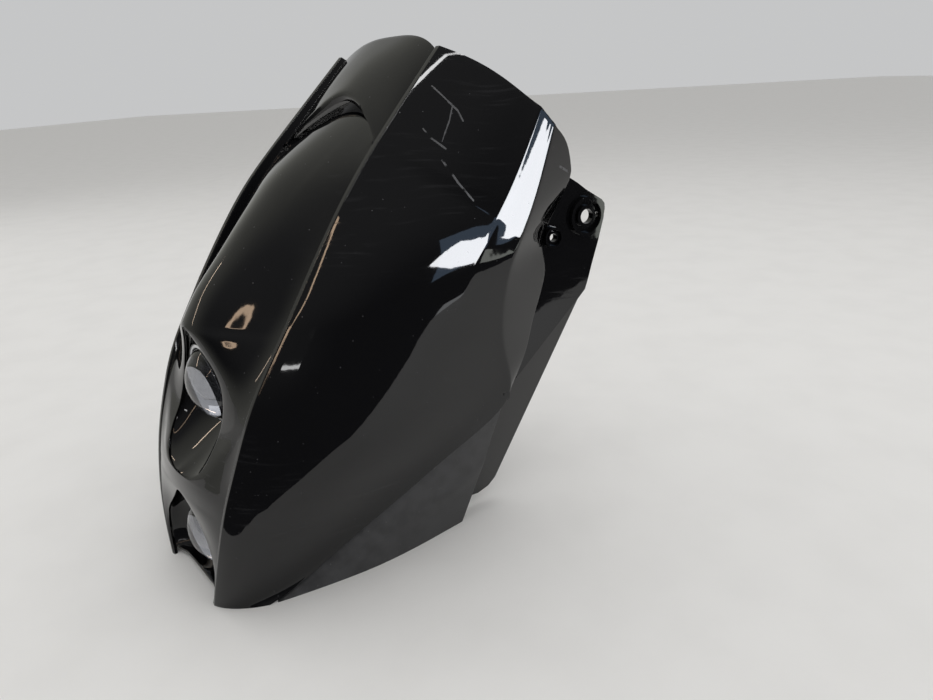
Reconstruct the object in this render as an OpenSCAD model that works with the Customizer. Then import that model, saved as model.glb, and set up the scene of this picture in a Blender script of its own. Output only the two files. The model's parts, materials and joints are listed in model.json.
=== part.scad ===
// Headlight cowl of a street motorcycle: a gloss front moulding with a raised ridge down each side,
// a hood, a brow vent and two stacked lamp openings, with satin lower side panels, splayed inner
// panels with mounting ears, and two projector lamps on a carrier behind the openings.
// Millimetres. X is across the cowl, Y runs from its nose to its tail, Z is up, and the cowl stands
// on its lower edge. Mirrored pairs are built once, on the +X side.

/* [Cowl shell] */
// Width across the side panels
cowl_w = 261; // [250:1:275]
// Depth from the nose tips to the rear of the ears
cowl_d = 333; // [320:1:350]
// Height from the lower edge to the middle of the top rim
cowl_h = 383; // [370:1:400]
// Wall of the mouldings
wall = 2.6; // [2.2:0.1:3.2]
// Width of the raised ridge at the top
ridge_w = 4.5; // [3.5:0.1:6]
// Height of the ridge over the centre strip where it stands highest
ridge_rise = 8; // [5:0.5:10]
// Rise of the brow over the vent lip
vent_gap = 14; // [9:0.5:16]
// Fullness of the side panels, as a share of each section's chord
side_full = 0.33; // [0.26:0.01:0.38]
// Height of the crease behind the side panels
crease_rise = 2.4; // [1:0.1:4]

/* [Inner panels] */
// Angle by which each inner panel splays out towards the rear
splay = 13; // [11:0.5:14]
// Thickness of the inner panels
plate_t = 3; // [2.4:0.1:3.6]
// Outer diameter of the raised boss on the ear
boss_d = 31; // [26:0.5:33]
// Height of the boss over the panel
boss_h = 4; // [2:0.5:5]
// Diameter of the mounting bores
bore_d = 11.5; // [8:0.1:13]
// Diameter of the locating hole beside each bore
pin_d = 4; // [3:0.1:5]
// Outer diameter of the small boss in front of the ear
front_boss_d = 16.5; // [14:0.5:17.5]
// Diameter of the bore through the small boss
front_bore_d = 6.5; // [5:0.1:7]

/* [Lamps] */
// Diameter of the glass lens
lens_d = 60; // [54:0.5:61]
// Height of the glass dome in front of its rim
dome_h = 17; // [12:0.5:19]
// Downward tilt of the lamps
lamp_tilt = 5.5; // [3:0.5:7]
// Width of the ring that holds the lens
ring_w = 2; // [1.6:0.1:2.4]
// Length of the lens holder
holder_l = 34; // [30:0.5:38]
// Depth of the reflector behind the holder
reflector_l = 44; // [38:0.5:50]
// Diameter of the bulb socket
socket_d = 26; // [22:0.5:30]
// Thickness of the lamp carrier
carrier_t = 4; // [3:0.5:5]

/* [Fasteners] */
// Clearance between pieces that sit against each other
fit = 0.3; // [0.2:0.05:0.5]
// Diameter of the screws
screw_d = 4; // [3:0.1:4.5]
// Diameter of the screw heads
head_d = 8; // [6.5:0.1:9]
// Outer diameter of the moulded screw posts
post_d = 8; // [7:0.1:9]

/* [Hidden] */
$fn = 48;

// The drawing is set out at 261 x 333 x 383 mm and stretched to the sizes above.
stretch = [cowl_w / 261, cowl_d / 333, cowl_h / 383];
function sized(p) = [p.x * stretch.x, p.y * stretch.y, p.z * stretch.z];
function mix(a, b, t) = a + (b - a) * t;
function unit(v) = v / norm(v);
function level(v) = unit([v.x, v.y, 0]);
// A smooth curve through the points of a list, at position s counted in points
function curve(p, s) = let (n = len(p) - 1, i = max(0, min(floor(s), n - 1)), t = s - i,
    a = p[max(i - 1, 0)], b = p[i], c = p[i + 1], d = p[min(i + 2, n)])
    b + (c - a) * t / 2 + (2 * a - 5 * b + 4 * c - d) * t * t / 2
    + (3 * b - a - 3 * c + d) * t * t * t / 2;

// Character lines of the left half, from the floor upwards
ridge_line = [[43.6, 0, 0], [51.4, 1.9, 21.6], [60.1, 6.2, 51.9], [66.5, 13, 82.6],
    [71.1, 20.6, 106.6], [74.5, 31, 134], [77.3, 46, 165], [79.2, 67, 197], [80, 82, 219],
    [78.6, 117, 267], [73.6, 158, 311], [68, 222.5, 372]];
lower_lip = [[39.5, 0.5, 0], [45, 2.6, 14], [47, 4, 28], [43.5, 5.3, 41], [31, 6.6, 54],
    [14.5, 5.8, 68], [0, 4.8, 76]];
strip_middle = [0, 5.2, 84];
upper_lip = [[0, 6, 92], [14, 7.2, 92.8], [25, 9.8, 96], [33, 14.5, 103], [37, 21, 114],
    [38, 29, 127], [38, 35, 144], [33, 37.4, 161], [23, 36.4, 175], [11.5, 33.8, 188],
    [0, 31.4, 197]];
hood_line = [[0, 31.4, 197], [0, 42, 213], [0, 54, 227], [0, 69, 242], [0, 86, 259.5],
    [0, 106, 279], [0, 130, 299], [0, 181, 330]];
brow_line = [[0, 181, 330 + vent_gap / stretch.z], [0, 206, 365], [0, 231, 383]];
lower_edge = [[72, 30, 0], [77, 59, 11], [85.5, 97, 32], [96, 134, 53.5], [104.5, 168, 73],
    [111, 203.5, 90], [115, 234, 112]];
rear_edge = [[115, 234, 112], [118.5, 229.5, 146], [123, 223, 180], [128, 226.5, 216],
    [130, 239, 241], [130.5, 256, 274], [130, 274, 316]];
flange_edge = [[113.4, 238.5, 116.5], [113.8, 255, 144], [115.4, 263, 171], [117.8, 273.5, 206],
    [117.6, 272.5, 232], [122, 291, 264], [123.8, 298, 281]];
floor_line = [[72, 30, 0], [79.3, 56, 0], [87.2, 91, 0], [91.6, 121, 0], [93, 151, 0],
    [92.8, 174, 0], [92.4, 197, 0]];
// Rise of the ridge over the strip, and its width, at each point of the ridge line
rise_share = [0.02, 0.03, 0.04, 0.05, 0.08, 0.15, 0.35, 0.7, 0.95, 1, 0.75, 0.42];
width_share = [0.3, 0.35, 0.4, 0.5, 0.6, 0.7, 0.8, 0.9, 1, 1, 1, 1];
// Angle at which each section leaves the ridge, and at which it meets the rear edge
nose_angle = [22, 24, 26, 28, 30, 31, 32, 33, 33, 32, 30, 26];
tail_angle = [63, 66, 70, 74, 78, 81, 84, 87, 87, 84, 72, 55];

// Rows of the shell run from the floor to the top rim, and these are the last rows of its zones.
lower_rows = 6;
strip_row = 7;
upper_rows = 19;
corner_row = 13;
hood_rows = 26;
top_row = 32;
strip_cols = 8;
side_cols = 11;
crease_col = 8;
crest_col = strip_cols + 2;
edge_col = crest_col + side_cols;
flange_col = edge_col + 2;
flank_w = 0.55 * ridge_w;

function ridge_at(j) = j <= lower_rows ? 2.75 * j / lower_rows
    : j <= strip_row ? mix(2.75, 3.02, j - lower_rows)
    : j <= upper_rows ? mix(3.25, 7, (j - 8) / (upper_rows - 8))
    : j <= hood_rows ? mix(7, 9.96, (j - upper_rows) / (hood_rows - upper_rows))
    : mix(10, 11, (j - hood_rows - 1) / (top_row - hood_rows - 1));
function back_at(j) = j <= corner_row ? 6 * j / corner_row
    : 6 + 6 * (j - corner_row) / (top_row - corner_row);
function start_raw(j) = j <= lower_rows ? curve(lower_lip, 6 * j / lower_rows)
    : j <= strip_row ? strip_middle
    : j <= upper_rows ? curve(upper_lip, 10 * (j - 8) / (upper_rows - 8))
    : j <= hood_rows ? curve(hood_line, 7 * (j - upper_rows) / (hood_rows - upper_rows))
    : curve(brow_line, 2 * (j - hood_rows - 1) / (top_row - hood_rows - 1));
function start_pt(j) = let (p = start_raw(j)) sized([max(0, p.x), p.y, p.z]);
function ridge_pt(j) = sized(curve(ridge_line, ridge_at(j)));
function back_pt(j) = let (s = back_at(j))
    sized(s <= 6 ? curve(lower_edge, s) : curve(rear_edge, s - 6));
function flange_pt(j) = let (s = back_at(j) - 6)
    sized(s <= 5.5 ? curve(flange_edge, 6 * s / 5.5)
        : mix(flange_edge[6], [129.6, 276.5, 313], (s - 5.5) / 0.5));
// Unit vector out of the cowl across the ridge, in the plane of symmetry
function ridge_out(j) = let (s = ridge_at(j), d = sized(curve(ridge_line, min(s + 0.1, 11))
    - curve(ridge_line, max(s - 0.1, 0)))) unit([0, -d.z, j == 0 ? 0 : d.y]);
function rise(j) = ridge_rise * curve(rise_share, ridge_at(j));
function crest_w(j) = ridge_w * curve(width_share, ridge_at(j));
function foot_pt(j) = ridge_pt(j) - [crest_w(j) + flank_w * curve(width_share, ridge_at(j)), 0, 0]
    - rise(j) * ridge_out(j);

// Share of the way from ridge to centre line: a rounded hood, or a plain crown on strip and brow
function crown(j, t) = j <= strip_row ? 1 - t * t : j > hood_rows ? 1 - t * t * t
    : let (w = min(1, (j - strip_row) / 3)) mix(1 - t * t, (1 + cos(180 * t)) / 2, w);
function strip_pt(j, t) = let (a = start_pt(j), b = foot_pt(j), f = crown(j, t))
    [mix(a.x, b.x, t), mix(b.y, a.y, f), mix(b.z, a.z, f)];
// Place of the crease across the side panel, and its height, which fades out downwards
function crease_at(j) = mix(0.74, 0.86, max(0, (j - 20) / (top_row - 20)));
function crease_up(j) = crease_rise * pow(max(0, (j - 20) / (top_row - 20)), 0.8);
function side_t(j, i) = i <= crease_col ? crease_at(j) * i / crease_col
    : mix(crease_at(j), 1, (i - crease_col) / (side_cols - crease_col));
// Extra height of the side panel's upper rim in its middle
rim_bow = 8 * stretch.z;
function side_pt(j, t) = let (a = ridge_pt(j), d = back_pt(j),
    reach = side_full * norm([d.x - a.x, d.y - a.y]), third = (d.z - a.z) / 3,
    n = curve(nose_angle, ridge_at(j)), m = curve(tail_angle, ridge_at(j)),
    b = a + [reach * cos(n), reach * sin(n), third],
    c = d - [reach * cos(m), reach * sin(m), third],
    lift = crease_up(j) * exp(-abs(t - crease_at(j)) / 0.07) * (t < 1 ? 1 : 0))
    a * pow(1 - t, 3) + b * 3 * t * pow(1 - t, 2) + c * 3 * t * t * (1 - t) + d * pow(t, 3)
    + lift * unit([1, -0.1, 0.4]) + [0, 0, rim_bow * pow(max(0, (j - 24) / (top_row - 24)), 1.5)
        * sin(180 * t)];
function flange_mid(j) = mix(back_pt(j), flange_pt(j), 0.5) + [0.6, 0, 0];

outer_grid = [for (j = [0:top_row]) [for (i = [0:flange_col])
    i <= strip_cols ? strip_pt(j, i / strip_cols)
    : i == strip_cols + 1 ? ridge_pt(j) - [crest_w(j), 0, 0]
    : i <= edge_col ? side_pt(j, side_t(j, i - crest_col))
    : i == edge_col + 1 ? flange_mid(j) : flange_pt(j)]];
// Unit normal of a grid at row j and column i, pointing out of the cowl
function normal(g, j, i, mirror_first) = let (
    rows = len(g) - 1, cols = len(g[0]) - 1,
    up = g[min(j + 1, rows)][i] - g[max(j - 1, 0)][i],
    left = i == 0 && mirror_first ? [-g[j][1].x, g[j][1].y, g[j][1].z] : g[j][max(i - 1, 0)],
    across = g[j][min(i + 1, cols)] - left) unit(cross(across, up));
function centred(j) = outer_grid[j][0].x < 0.01;
// Rows next to the vent take their slope from their own side of it
function shell_normal(j, i) = i < strip_cols && j == hood_rows
    ? unit(normal(outer_grid, j - 1, i, centred(j - 1)))
    : i < strip_cols && j == hood_rows + 1 ? unit(normal(outer_grid, j + 1, i, true))
    : i > edge_col && j < corner_row ? [1, 0, 0]
    : j == 0 ? level(normal(outer_grid, j, i, false))
    : normal(outer_grid, j, i, centred(j));
inner_grid = [for (j = [0:top_row]) [for (i = [0:flange_col])
    i == strip_cols ? outer_grid[j][i] + [0.25 * rise(j) * wall / 2.6, 0, 0] - wall * ridge_out(j)
    : i == strip_cols + 1 ? ridge_pt(j) - [crest_w(j) / 2, 0, 0] - wall * ridge_out(j)
    : i == crest_col ? ridge_pt(j) + [0.2 * wall, 0, 0] - 1.1 * wall * ridge_out(j)
    : outer_grid[j][i] - wall * shell_normal(j, i)]];
function in_shell(j, i) = j >= 0 && j < top_row && i >= 0 && i < flange_col
    && (i < edge_col || j >= corner_row) && !(j == hood_rows && i < strip_cols);

// A closed skin between two grids of points, over the cells that a test lets through. With
// halves of 2 the mirrored half is added, and joined where the first column is on the centre.
module skin(outer, inner, on, halves = 1, joined = function (j) false) {
    rows = len(outer);
    cols = len(outer[0]);
    block = rows * cols;
    flip = function (p) [-p.x, p.y, p.z];
    right = concat([for (r = outer) each r], [for (r = inner) each r]);
    points = halves == 2 ? concat(right, [for (p = right) flip(p)]) : right;
    id = function (h, layer, j, i)
        (i == 0 && joined(j) ? 0 : h * 2 * block) + layer * block + j * cols + i;
    pair = function (q, back) back ? [[q[0], q[2], q[1]], [q[0], q[3], q[2]]]
        : [[q[0], q[1], q[2]], [q[0], q[2], q[3]]];
    faces = [for (h = [0:halves - 1], j = [0:rows - 2], i = [0:cols - 2]) if (on(j, i))
        let (a = [j, i], b = [j + 1, i], c = [j + 1, i + 1], d = [j, i + 1],
            open_side = i == 0 ? !(joined(j) && joined(j + 1)) : !on(j, i - 1),
            walls = concat(open_side ? [[a, b]] : [], on(j + 1, i) ? [] : [[b, c]],
                on(j, i + 1) ? [] : [[c, d]], on(j - 1, i) ? [] : [[d, a]]),
            top = [for (p = [a, b, c, d]) id(h, 0, p[0], p[1])],
            bottom = [for (p = [a, d, c, b]) id(h, 1, p[0], p[1])])
        each concat(pair(top, h == 1), pair(bottom, h == 1),
            [for (w = walls) each pair([id(h, 0, w[1][0], w[1][1]), id(h, 0, w[0][0], w[0][1]),
                id(h, 1, w[0][0], w[0][1]), id(h, 1, w[1][0], w[1][1])], h == 1)])];
    polyhedron(points, faces);
}

front_y = -cowl_d / 2;
module placed() translate([0, front_y, 0]) children();
module both_sides() { children(); mirror([1, 0, 0]) children(); }
module side_of(right) mirror([right ? 1 : 0, 0, 0]) children();

// Lamp places: the middle of each lens rim, and the turn that points local Z out of the lens
upper_lamp = sized([0, 43, 149.5]);
lower_lamp = sized([0, 22, 33.2]);
lens_r = lens_d / 2;
ring_r = lens_r + ring_w;
lens_edge_t = 4;
module at_lamp(p) placed() translate(p) rotate([90 + lamp_tilt, 0, 0]) children();
function in_lamp(p, lamp) = let (d = p - lamp, c = cos(lamp_tilt), s = sin(lamp_tilt))
    [d.x, d.z * c - d.y * s, -d.y * c - d.z * s];

// Screw posts on the back of the cowl meet the front of the lamp carrier
holder_back = -lens_edge_t - holder_l;
carrier_gap = 7;
carrier_front = holder_back + 3 + carrier_gap + carrier_t;
upper_post = in_lamp(strip_pt(corner_row, 0.5), upper_lamp);
lower_post = in_lamp(strip_pt(5, 0.72), lower_lamp);
pilot_d = screw_d + 0.2;
post_root = 0.55 * wall;
module carrier_posts(lamp, at) at_lamp(lamp) both_sides() translate([at.x, at.y, carrier_front])
    difference() {
        cylinder(d = post_d, h = at.z - carrier_front - post_root);
        translate([0, 0, -1]) cylinder(d = pilot_d, h = 13);
    }

// Each inner panel lies on a splayed upright plane. S runs along it to the rear, and Z is up.
panel_root = sized([112.5, 262, 0]);
module on_plate() placed() translate(panel_root) rotate([90, 0, 90 - splay]) children();
function plate_s(p) = (p[0] * stretch.y - panel_root.y) / cos(splay);
function plate_pt(p) = [plate_s(p), p[1] * stretch.z];
function plate_3d(p) = [panel_root.x + plate_s(p) * sin(splay), p[0] * stretch.y, p[1] * stretch.z];
// Places on the panel as depth and height: bosses, and the fin's crease
main_boss = [314, 243.5];
front_boss = [283, 231];
crease_top = [314.6, 183.4];
crease_low = [249, 121.3];
ear_outline = [[236, 133], [231, 165], [232, 215], [240, 244], [262, 264], [286, 273], [300, 274.5],
    [307, 270], [315, 264], [325, 257.8], [330, 254.6], [332.6, 251.4], [333, 247], [331, 236.5],
    [327, 222], [321, 203.5], [317, 190], crease_top, crease_low];
fin_frame_x = unit(plate_3d(crease_low) - plate_3d(crease_top));
fin_out = unit(cross(fin_frame_x, sized([83, 240.5, 15.5]) - plate_3d(crease_top)));
fin_frame_y = cross(fin_out, fin_frame_x);
function fin_pt(p) = let (d = sized(p) - plate_3d(crease_top)) [d * fin_frame_x, d * fin_frame_y];
fin_outline = [[124.7, 314.6, 183.4], [123, 307.5, 176], [84.6, 243, 20], [82.6, 236, 13.5],
    [81.5, 224, 11], [85, 196, 16], [95, 196, 62], [106, 214, 108], [109.5, 249, 121.3]];
module on_fin() placed() multmatrix([for (i = [0:2])
    [fin_frame_x[i], fin_frame_y[i], fin_out[i], plate_3d(crease_top)[i]]]) children();
// Screws join each panel to the cowl's flange: place along the panel, height, and gap between them
panel_screws = [for (j = [16, 22]) let (p = flange_mid(j) - panel_root)
    [p.x * sin(splay) + p.y * cos(splay), p.z, p.x * cos(splay) - p.y * sin(splay)]];
module at_panel_screws() for (p = panel_screws) on_plate() translate([p.x, p.y, 0]) {
    $gap = p.z - wall;
    children();
}
panel_screw_l = 4;
module panel_post() translate([0, 0, fit]) difference() {
    cylinder(d = post_d, h = $gap - fit + post_root);
    translate([0, 0, -1]) cylinder(d = pilot_d, h = panel_screw_l + 1);
}

module cowl_skin() skin(outer_grid, inner_grid, function (j, i) in_shell(j, i), 2,
    function (j) centred(j));
module front_cowl() color("#0c0c0e") {
    placed() cowl_skin();
    carrier_posts(upper_lamp, upper_post);
    carrier_posts(lower_lamp, lower_post);
    both_sides() at_panel_screws() panel_post();
}

// A closed tube through rings of points: out along the first rings, back along the last
module ring_loft(rings) {
    n = len(rings[0]);
    m = len(rings);
    polyhedron([for (r = rings) each r], [for (k = [0:m - 1], i = [0:n - 1])
        let (a = k * n + i, b = k * n + (i + 1) % n, c = (k + 1) % m * n + (i + 1) % n,
            d = (k + 1) % m * n + i) each [[a, c, b], [a, d, c]]]);
}
bezel_t = 1.8;
function above_floor(p) = [p.x, p.y, max(p.z, 0)];
// Lip of an opening at row j, pushed behind the cowl's wall, with a second point further out
function behind_lip(j, out) = let (a = strip_pt(j, 0), b = strip_pt(j, 0.2),
    up = strip_pt(j + 0.05, 0.1) - strip_pt(j - 0.05, 0.1), n = unit(cross(b - a, up)))
    j < 3 ? a + [out, 0, 0] - (wall + 2 * fit) * ridge_out(j)
    : a + out * unit(b - a) - (wall + 1.5 * fit) * n;
function flipped(p) = [-p.x, p.y, p.z];
function loop_from(half) = concat(half, [for (i = [len(half) - 2:-1:1]) flipped(half[i])]);
function seat_ring(lamp, n, r, z) = [for (i = [0:n - 1]) let (a = -90 + 360 * i / n,
    c = cos(lamp_tilt), s = sin(lamp_tilt), x = r * cos(a) / cos(180 / n), y = r * sin(a) / cos(180 / n))
    lamp + [x, -y * s - z * c, y * c - z * s]];
module bezel(front_in, front_out, lamp) {
    n = len(front_in);
    seat_in = seat_ring(lamp, n, ring_r + fit, -2);
    seat_out = seat_ring(lamp, n, ring_r + fit + bezel_t, -2);
    bow = [for (t = [0.33, 0.66]) [for (i = [0:n - 1]) let (p = mix(front_in[i], seat_in[i], t))
        p + 2.5 * sin(180 * t) * unit([p.x - lamp.x, 0, p.z - lamp.z])]];
    bow_out = [for (t = [0.66, 0.33]) [for (i = [0:n - 1])
        let (p = mix(front_out[i], seat_out[i], t))
        p + 2.5 * sin(180 * t) * unit([p.x - lamp.x, 0, p.z - lamp.z])]];
    placed() ring_loft([for (ring = [front_in, bow[0], bow[1], seat_in, seat_out, bow_out[0],
        bow_out[1], front_out]) [for (p = ring) above_floor(p)]]);
}
upper_lip_rows = [8.02, 9, 10, 11, 12, 13, 14, 15, 16, 17, 18, 18.98];
function on_centre(p) = [0, p.y, p.z];
function lip_half(rows, out) = let (q = [for (j = rows) behind_lip(j, out)])
    [for (i = [0:len(q) - 1]) i == 0 || i == len(q) - 1 ? on_centre(q[i]) : q[i]];
module upper_bezel() color("#0a0a0b") bezel(loop_from(lip_half(upper_lip_rows, 0)),
    loop_from(lip_half(upper_lip_rows, bezel_t)), upper_lamp);
// The lower opening is closed below by the bezel's arched chin
chin_z = 9;
function chin(out) = [for (x = [0, 14, 27]) sized([x, 4.5, chin_z - 4.5 * pow(x / 38, 2)])
    + [0, wall + fit, -out]];
lower_lip_rows = [0.45, 1, 2, 3, 4, 5, 5.98];
function lower_half(out) = concat(chin(out), let (q = lip_half(lower_lip_rows, out))
    [for (i = [0:len(q) - 1]) i == 0 ? behind_lip(lower_lip_rows[0], out) : q[i]]);
module lower_bezel() color("#0a0a0b") bezel(loop_from(lower_half(0)), loop_from(lower_half(bezel_t)),
    lower_lamp);

// Satin lower panel: from behind the gloss lower edge down to the floor line
lower_cols = 5;
tuck_t = 0.94;
panel_rows = [0.5, 1.2, 2, 3, 4, 5, 6, 7, 8, 9, 10, 11, 12, 12.95];
function side_out(j, t) = unit(cross(side_pt(j, t) - side_pt(j, t - 0.03),
    side_pt(j + 0.2, t) - side_pt(j - 0.2, t)));
function tucked(j, t) = side_pt(j, t) - (wall + fit) * side_out(j, t);
function floor_pt(j) = sized(curve(floor_line, 6 * j / corner_row));
panel_grid = [for (j = panel_rows) [for (i = [0:lower_cols + 1])
    i == 0 ? tucked(j, tuck_t) : let (t = (i - 1) / lower_cols, a = tucked(j, 1), b = floor_pt(j))
        mix(a, b, t) + [1.2 * sin(180 * t), 0, 0] * min(1, j / 5)]];
panel_outer = [for (row = panel_grid) [for (p = row) above_floor(p)]];
panel_inner = [for (j = [0:len(panel_rows) - 1]) [for (i = [0:lower_cols + 1])
    let (n = normal(panel_grid, j, i, false)) above_floor(panel_grid[j][i]
        - wall * (i == lower_cols + 1 ? level(n) : n))]];
fin_screws = [[96, 206, 66], [88, 203, 27]];
module lower_panel_skin() placed() skin(panel_outer, panel_inner, function (j, i)
    j >= 0 && i >= 0 && j < len(panel_rows) - 1 && i <= lower_cols);
module at_fin(p) on_fin() translate([fin_pt(p)[0], fin_pt(p)[1], 0]) children();
fin_post_l = [13, 10];
module lower_panel(right) side_of(right) color("#1b1b1d") {
    lower_panel_skin();
    for (i = [0:1]) at_fin(fin_screws[i]) translate([0, 0, fit]) difference() {
        cylinder(d = post_d, h = fin_post_l[i]);
        translate([0, 0, -1]) cylinder(d = pilot_d, h = 8);
    }
}
module left_lower_panel() lower_panel(false);
module right_lower_panel() lower_panel(true);

// A raised ring with a lower collar round the bore inside it
collar_share = 0.6;
module at_boss(at) on_plate() translate([plate_s(at), at[1] * stretch.z, 0]) children();
module boss(at, d, rim) at_boss(at) translate([0, 0, -plate_t]) {
    cylinder(d = 0.56 * d, h = plate_t + collar_share * boss_h);
    difference() {
        cylinder(d = d, h = plate_t + boss_h);
        translate([0, 0, plate_t]) cylinder(d = d - 2 * rim, h = boss_h + 1);
    }
}
module through(d) translate([0, 0, -10]) cylinder(d = d, h = 30);
module inner_panel(right) side_of(right) color("#0d0d0f") difference() {
    union() {
        on_plate() translate([0, 0, -plate_t]) linear_extrude(plate_t)
            polygon([for (p = ear_outline) plate_pt(p)]);
        on_fin() translate([0, 0, -plate_t]) linear_extrude(plate_t)
            polygon([for (p = fin_outline) fin_pt(p)]);
        boss(main_boss, boss_d, 2.5);
        boss(front_boss, front_boss_d, 1.8);
    }
    at_boss(main_boss) through(bore_d);
    at_boss(main_boss) translate([0.354 * boss_d, 0, 0]) through(pin_d);
    at_boss(front_boss) through(front_bore_d);
    at_panel_screws() through(pilot_d);
    for (p = fin_screws) at_fin(p) through(pilot_d);
}
module left_inner_panel() inner_panel(false);
module right_inner_panel() inner_panel(true);

// Lamp carrier: two open plates round the lens holders, joined by a rail down each side
holder_max_r = lens_r + 5;
carrier_r = holder_max_r + 10;
carrier_back = carrier_front - carrier_t;
lug_r = holder_max_r + 5;
lug_angles = [90, -20, 200];
module at_lugs() for (a = lug_angles) rotate(a) translate([lug_r, 0, 0]) children();
module carrier_plate(lamp, at) at_lamp(lamp) translate([0, 0, carrier_back]) {
    intersection() {
        cylinder(r = carrier_r, h = carrier_t);
        translate([-80, -24, 0]) cube([160, 120, carrier_t]);
    }
    both_sides() {
        translate([at.x, at.y, 0]) cylinder(d = post_d + 6, h = carrier_t);
        rotate(atan2(at.y, at.x)) translate([carrier_r - 4, -6, 0])
            cube([norm([at.x, at.y]) - carrier_r + 4, 12, carrier_t]);
    }
}
module carrier_holes(lamp, at) at_lamp(lamp) translate([0, 0, carrier_back - 1]) {
    cylinder(r = holder_max_r + 1.5, h = carrier_t + 2);
    at_lugs() cylinder(d = pilot_d, h = carrier_t + 8);
    both_sides() translate([at.x, at.y, 0]) cylinder(d = pilot_d, h = carrier_t + 2);
}
// A place in a lamp's own frame, as depth and height in the plane of symmetry
function from_lamp(lamp, y, z) = let (c = cos(lamp_tilt), s = sin(lamp_tilt))
    [lamp.y - y * s - z * c, lamp.z + y * c - z * s];
rail_x = [holder_max_r + 2.5, holder_max_r + 8];
module rail() placed() both_sides() translate([rail_x[1], 0, 0]) rotate([90, 0, -90])
    linear_extrude(rail_x[1] - rail_x[0]) polygon([for (p = [from_lamp(lower_lamp, -4, carrier_back + 1),
        from_lamp(lower_lamp, 24, carrier_back + 1), from_lamp(upper_lamp, 10, carrier_back + 1),
        from_lamp(upper_lamp, -18, carrier_back + 1)]) [-p[0], p[1]]]);
module lamp_carrier() color("#3a3c40") difference() {
    union() {
        carrier_plate(upper_lamp, upper_post);
        carrier_plate(lower_lamp, lower_post);
        rail();
    }
    carrier_holes(upper_lamp, upper_post);
    carrier_holes(lower_lamp, lower_post);
}

// Projector lamp pieces, each along local Z with the lens rim at zero
dome_r = (pow(lens_r - 1.8, 2) + dome_h * dome_h) / (2 * dome_h);
module lens(lamp) at_lamp(lamp) color("#cfd8dc", 0.5) union() {
    translate([0, 0, -lens_edge_t]) cylinder(r = lens_r, h = lens_edge_t);
    intersection() {
        translate([0, 0, dome_h - dome_r]) sphere(r = dome_r, $fn = 96);
        translate([0, 0, -1]) cylinder(r = lens_r - 1.8, h = dome_h + 2);
    }
}
ring_lip_t = 1.4;
module lens_ring(lamp) at_lamp(lamp) color("#b8bcc2") difference() {
    translate([0, 0, -lens_edge_t - 4]) cylinder(r = ring_r, h = lens_edge_t + 4 + ring_lip_t);
    translate([0, 0, -lens_edge_t - 5]) cylinder(r = lens_r + fit / 2, h = lens_edge_t + 5);
    translate([0, 0, -1]) cylinder(r = lens_r - 1.4, h = ring_lip_t + 2);
}
holder_wall = 2.4;
flange_t = 3;
// Lugs by which each reflector is screwed to its holder
small_screw_d = 0.75 * screw_d;
ear_r = holder_max_r + 3.5;
ear_angles = [38, 142, 232, 308];
module at_ears() for (a = ear_angles) rotate(a) translate([ear_r, 0, 0]) children();
module lugged_flange(z) {
    translate([0, 0, z]) cylinder(r = holder_max_r, h = flange_t);
    at_ears() translate([0, 0, z]) cylinder(d = 9, h = flange_t);
}
module lens_holder(lamp) at_lamp(lamp) color("#4a4c50") difference() {
    union() {
        translate([0, 0, -lens_edge_t - 4]) cylinder(r = lens_r, h = 4);
        translate([0, 0, holder_back]) cylinder(r1 = lens_r + 3, r2 = lens_r, h = holder_l - 4);
        lugged_flange(holder_back);
        at_lugs() translate([0, 0, holder_back]) {
            cylinder(d = 10, h = flange_t);
            translate([-6, -5, 0]) cube([6, 10, flange_t]);
        }
    }
    translate([0, 0, holder_back - 1]) cylinder(r = lens_r - holder_wall, h = holder_l + 2);
    at_lugs() translate([0, 0, holder_back - 1]) cylinder(d = pilot_d, h = flange_t + 2);
    at_ears() translate([0, 0, holder_back - 1]) cylinder(d = small_screw_d + 0.2, h = flange_t + 2);
}
shutter_t = 1;
module shutter(lamp) at_lamp(lamp) color("#8c8f94") translate([0, 0, holder_back - shutter_t])
    difference() {
        cylinder(r = holder_max_r - 1, h = shutter_t);
        intersection() {
            translate([0, 0, -1]) cylinder(r = lens_r - 5, h = shutter_t + 2);
            translate([-lens_r, 0, -1]) cube([2 * lens_r, lens_r, shutter_t + 2]);
        }
    }
reflector_front = holder_back - shutter_t;
reflector_t = 2.2;
bulb_r = 6;
socket_r = socket_d / 2;
socket_l = 9;
function bowl_r(f) = mix(socket_r - 1, lens_r + 2, sqrt(1 - f * f));
bowl_steps = 10;
function bowl(inset) = [for (i = [0:bowl_steps]) let (f = i / bowl_steps)
    [bowl_r(f) - inset, reflector_front - f * reflector_l]];
socket_end = reflector_front - reflector_l - socket_l;
module reflector(lamp) at_lamp(lamp) color("#9a9da2") difference() {
    union() {
        rotate_extrude() polygon(concat([[0, reflector_front]], bowl(0),
            [[0, reflector_front - reflector_l]]));
        lugged_flange(reflector_front - flange_t);
        translate([0, 0, socket_end]) cylinder(r = socket_r, h = socket_l + 3);
    }
    rotate_extrude() polygon(concat([[0, reflector_front + 1], [lens_r + 2 - reflector_t,
        reflector_front + 1]], bowl(reflector_t), [[0, reflector_front - reflector_l]]));
    translate([0, 0, socket_end - 1]) cylinder(r = bulb_r + 0.5, h = socket_l + 12);
    at_ears() translate([0, 0, reflector_front - flange_t - 1])
        cylinder(d = small_screw_d + 0.2, h = flange_t + 2);
}
bulb_base_r = 10;
bulb_l = 42;
module bulb(lamp) at_lamp(lamp) color("#d9d4c4") union() {
    translate([0, 0, socket_end - 2]) cylinder(r = bulb_r, h = bulb_l - bulb_r);
    translate([0, 0, socket_end - 2 + bulb_l - bulb_r]) sphere(r = bulb_r);
    translate([0, 0, socket_end - 3]) cylinder(r = bulb_base_r, h = 3);
    translate([0, 0, socket_end - 9]) cylinder(r = bulb_base_r - 4, h = 7);
}
cap_t = 2.2;
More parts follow.
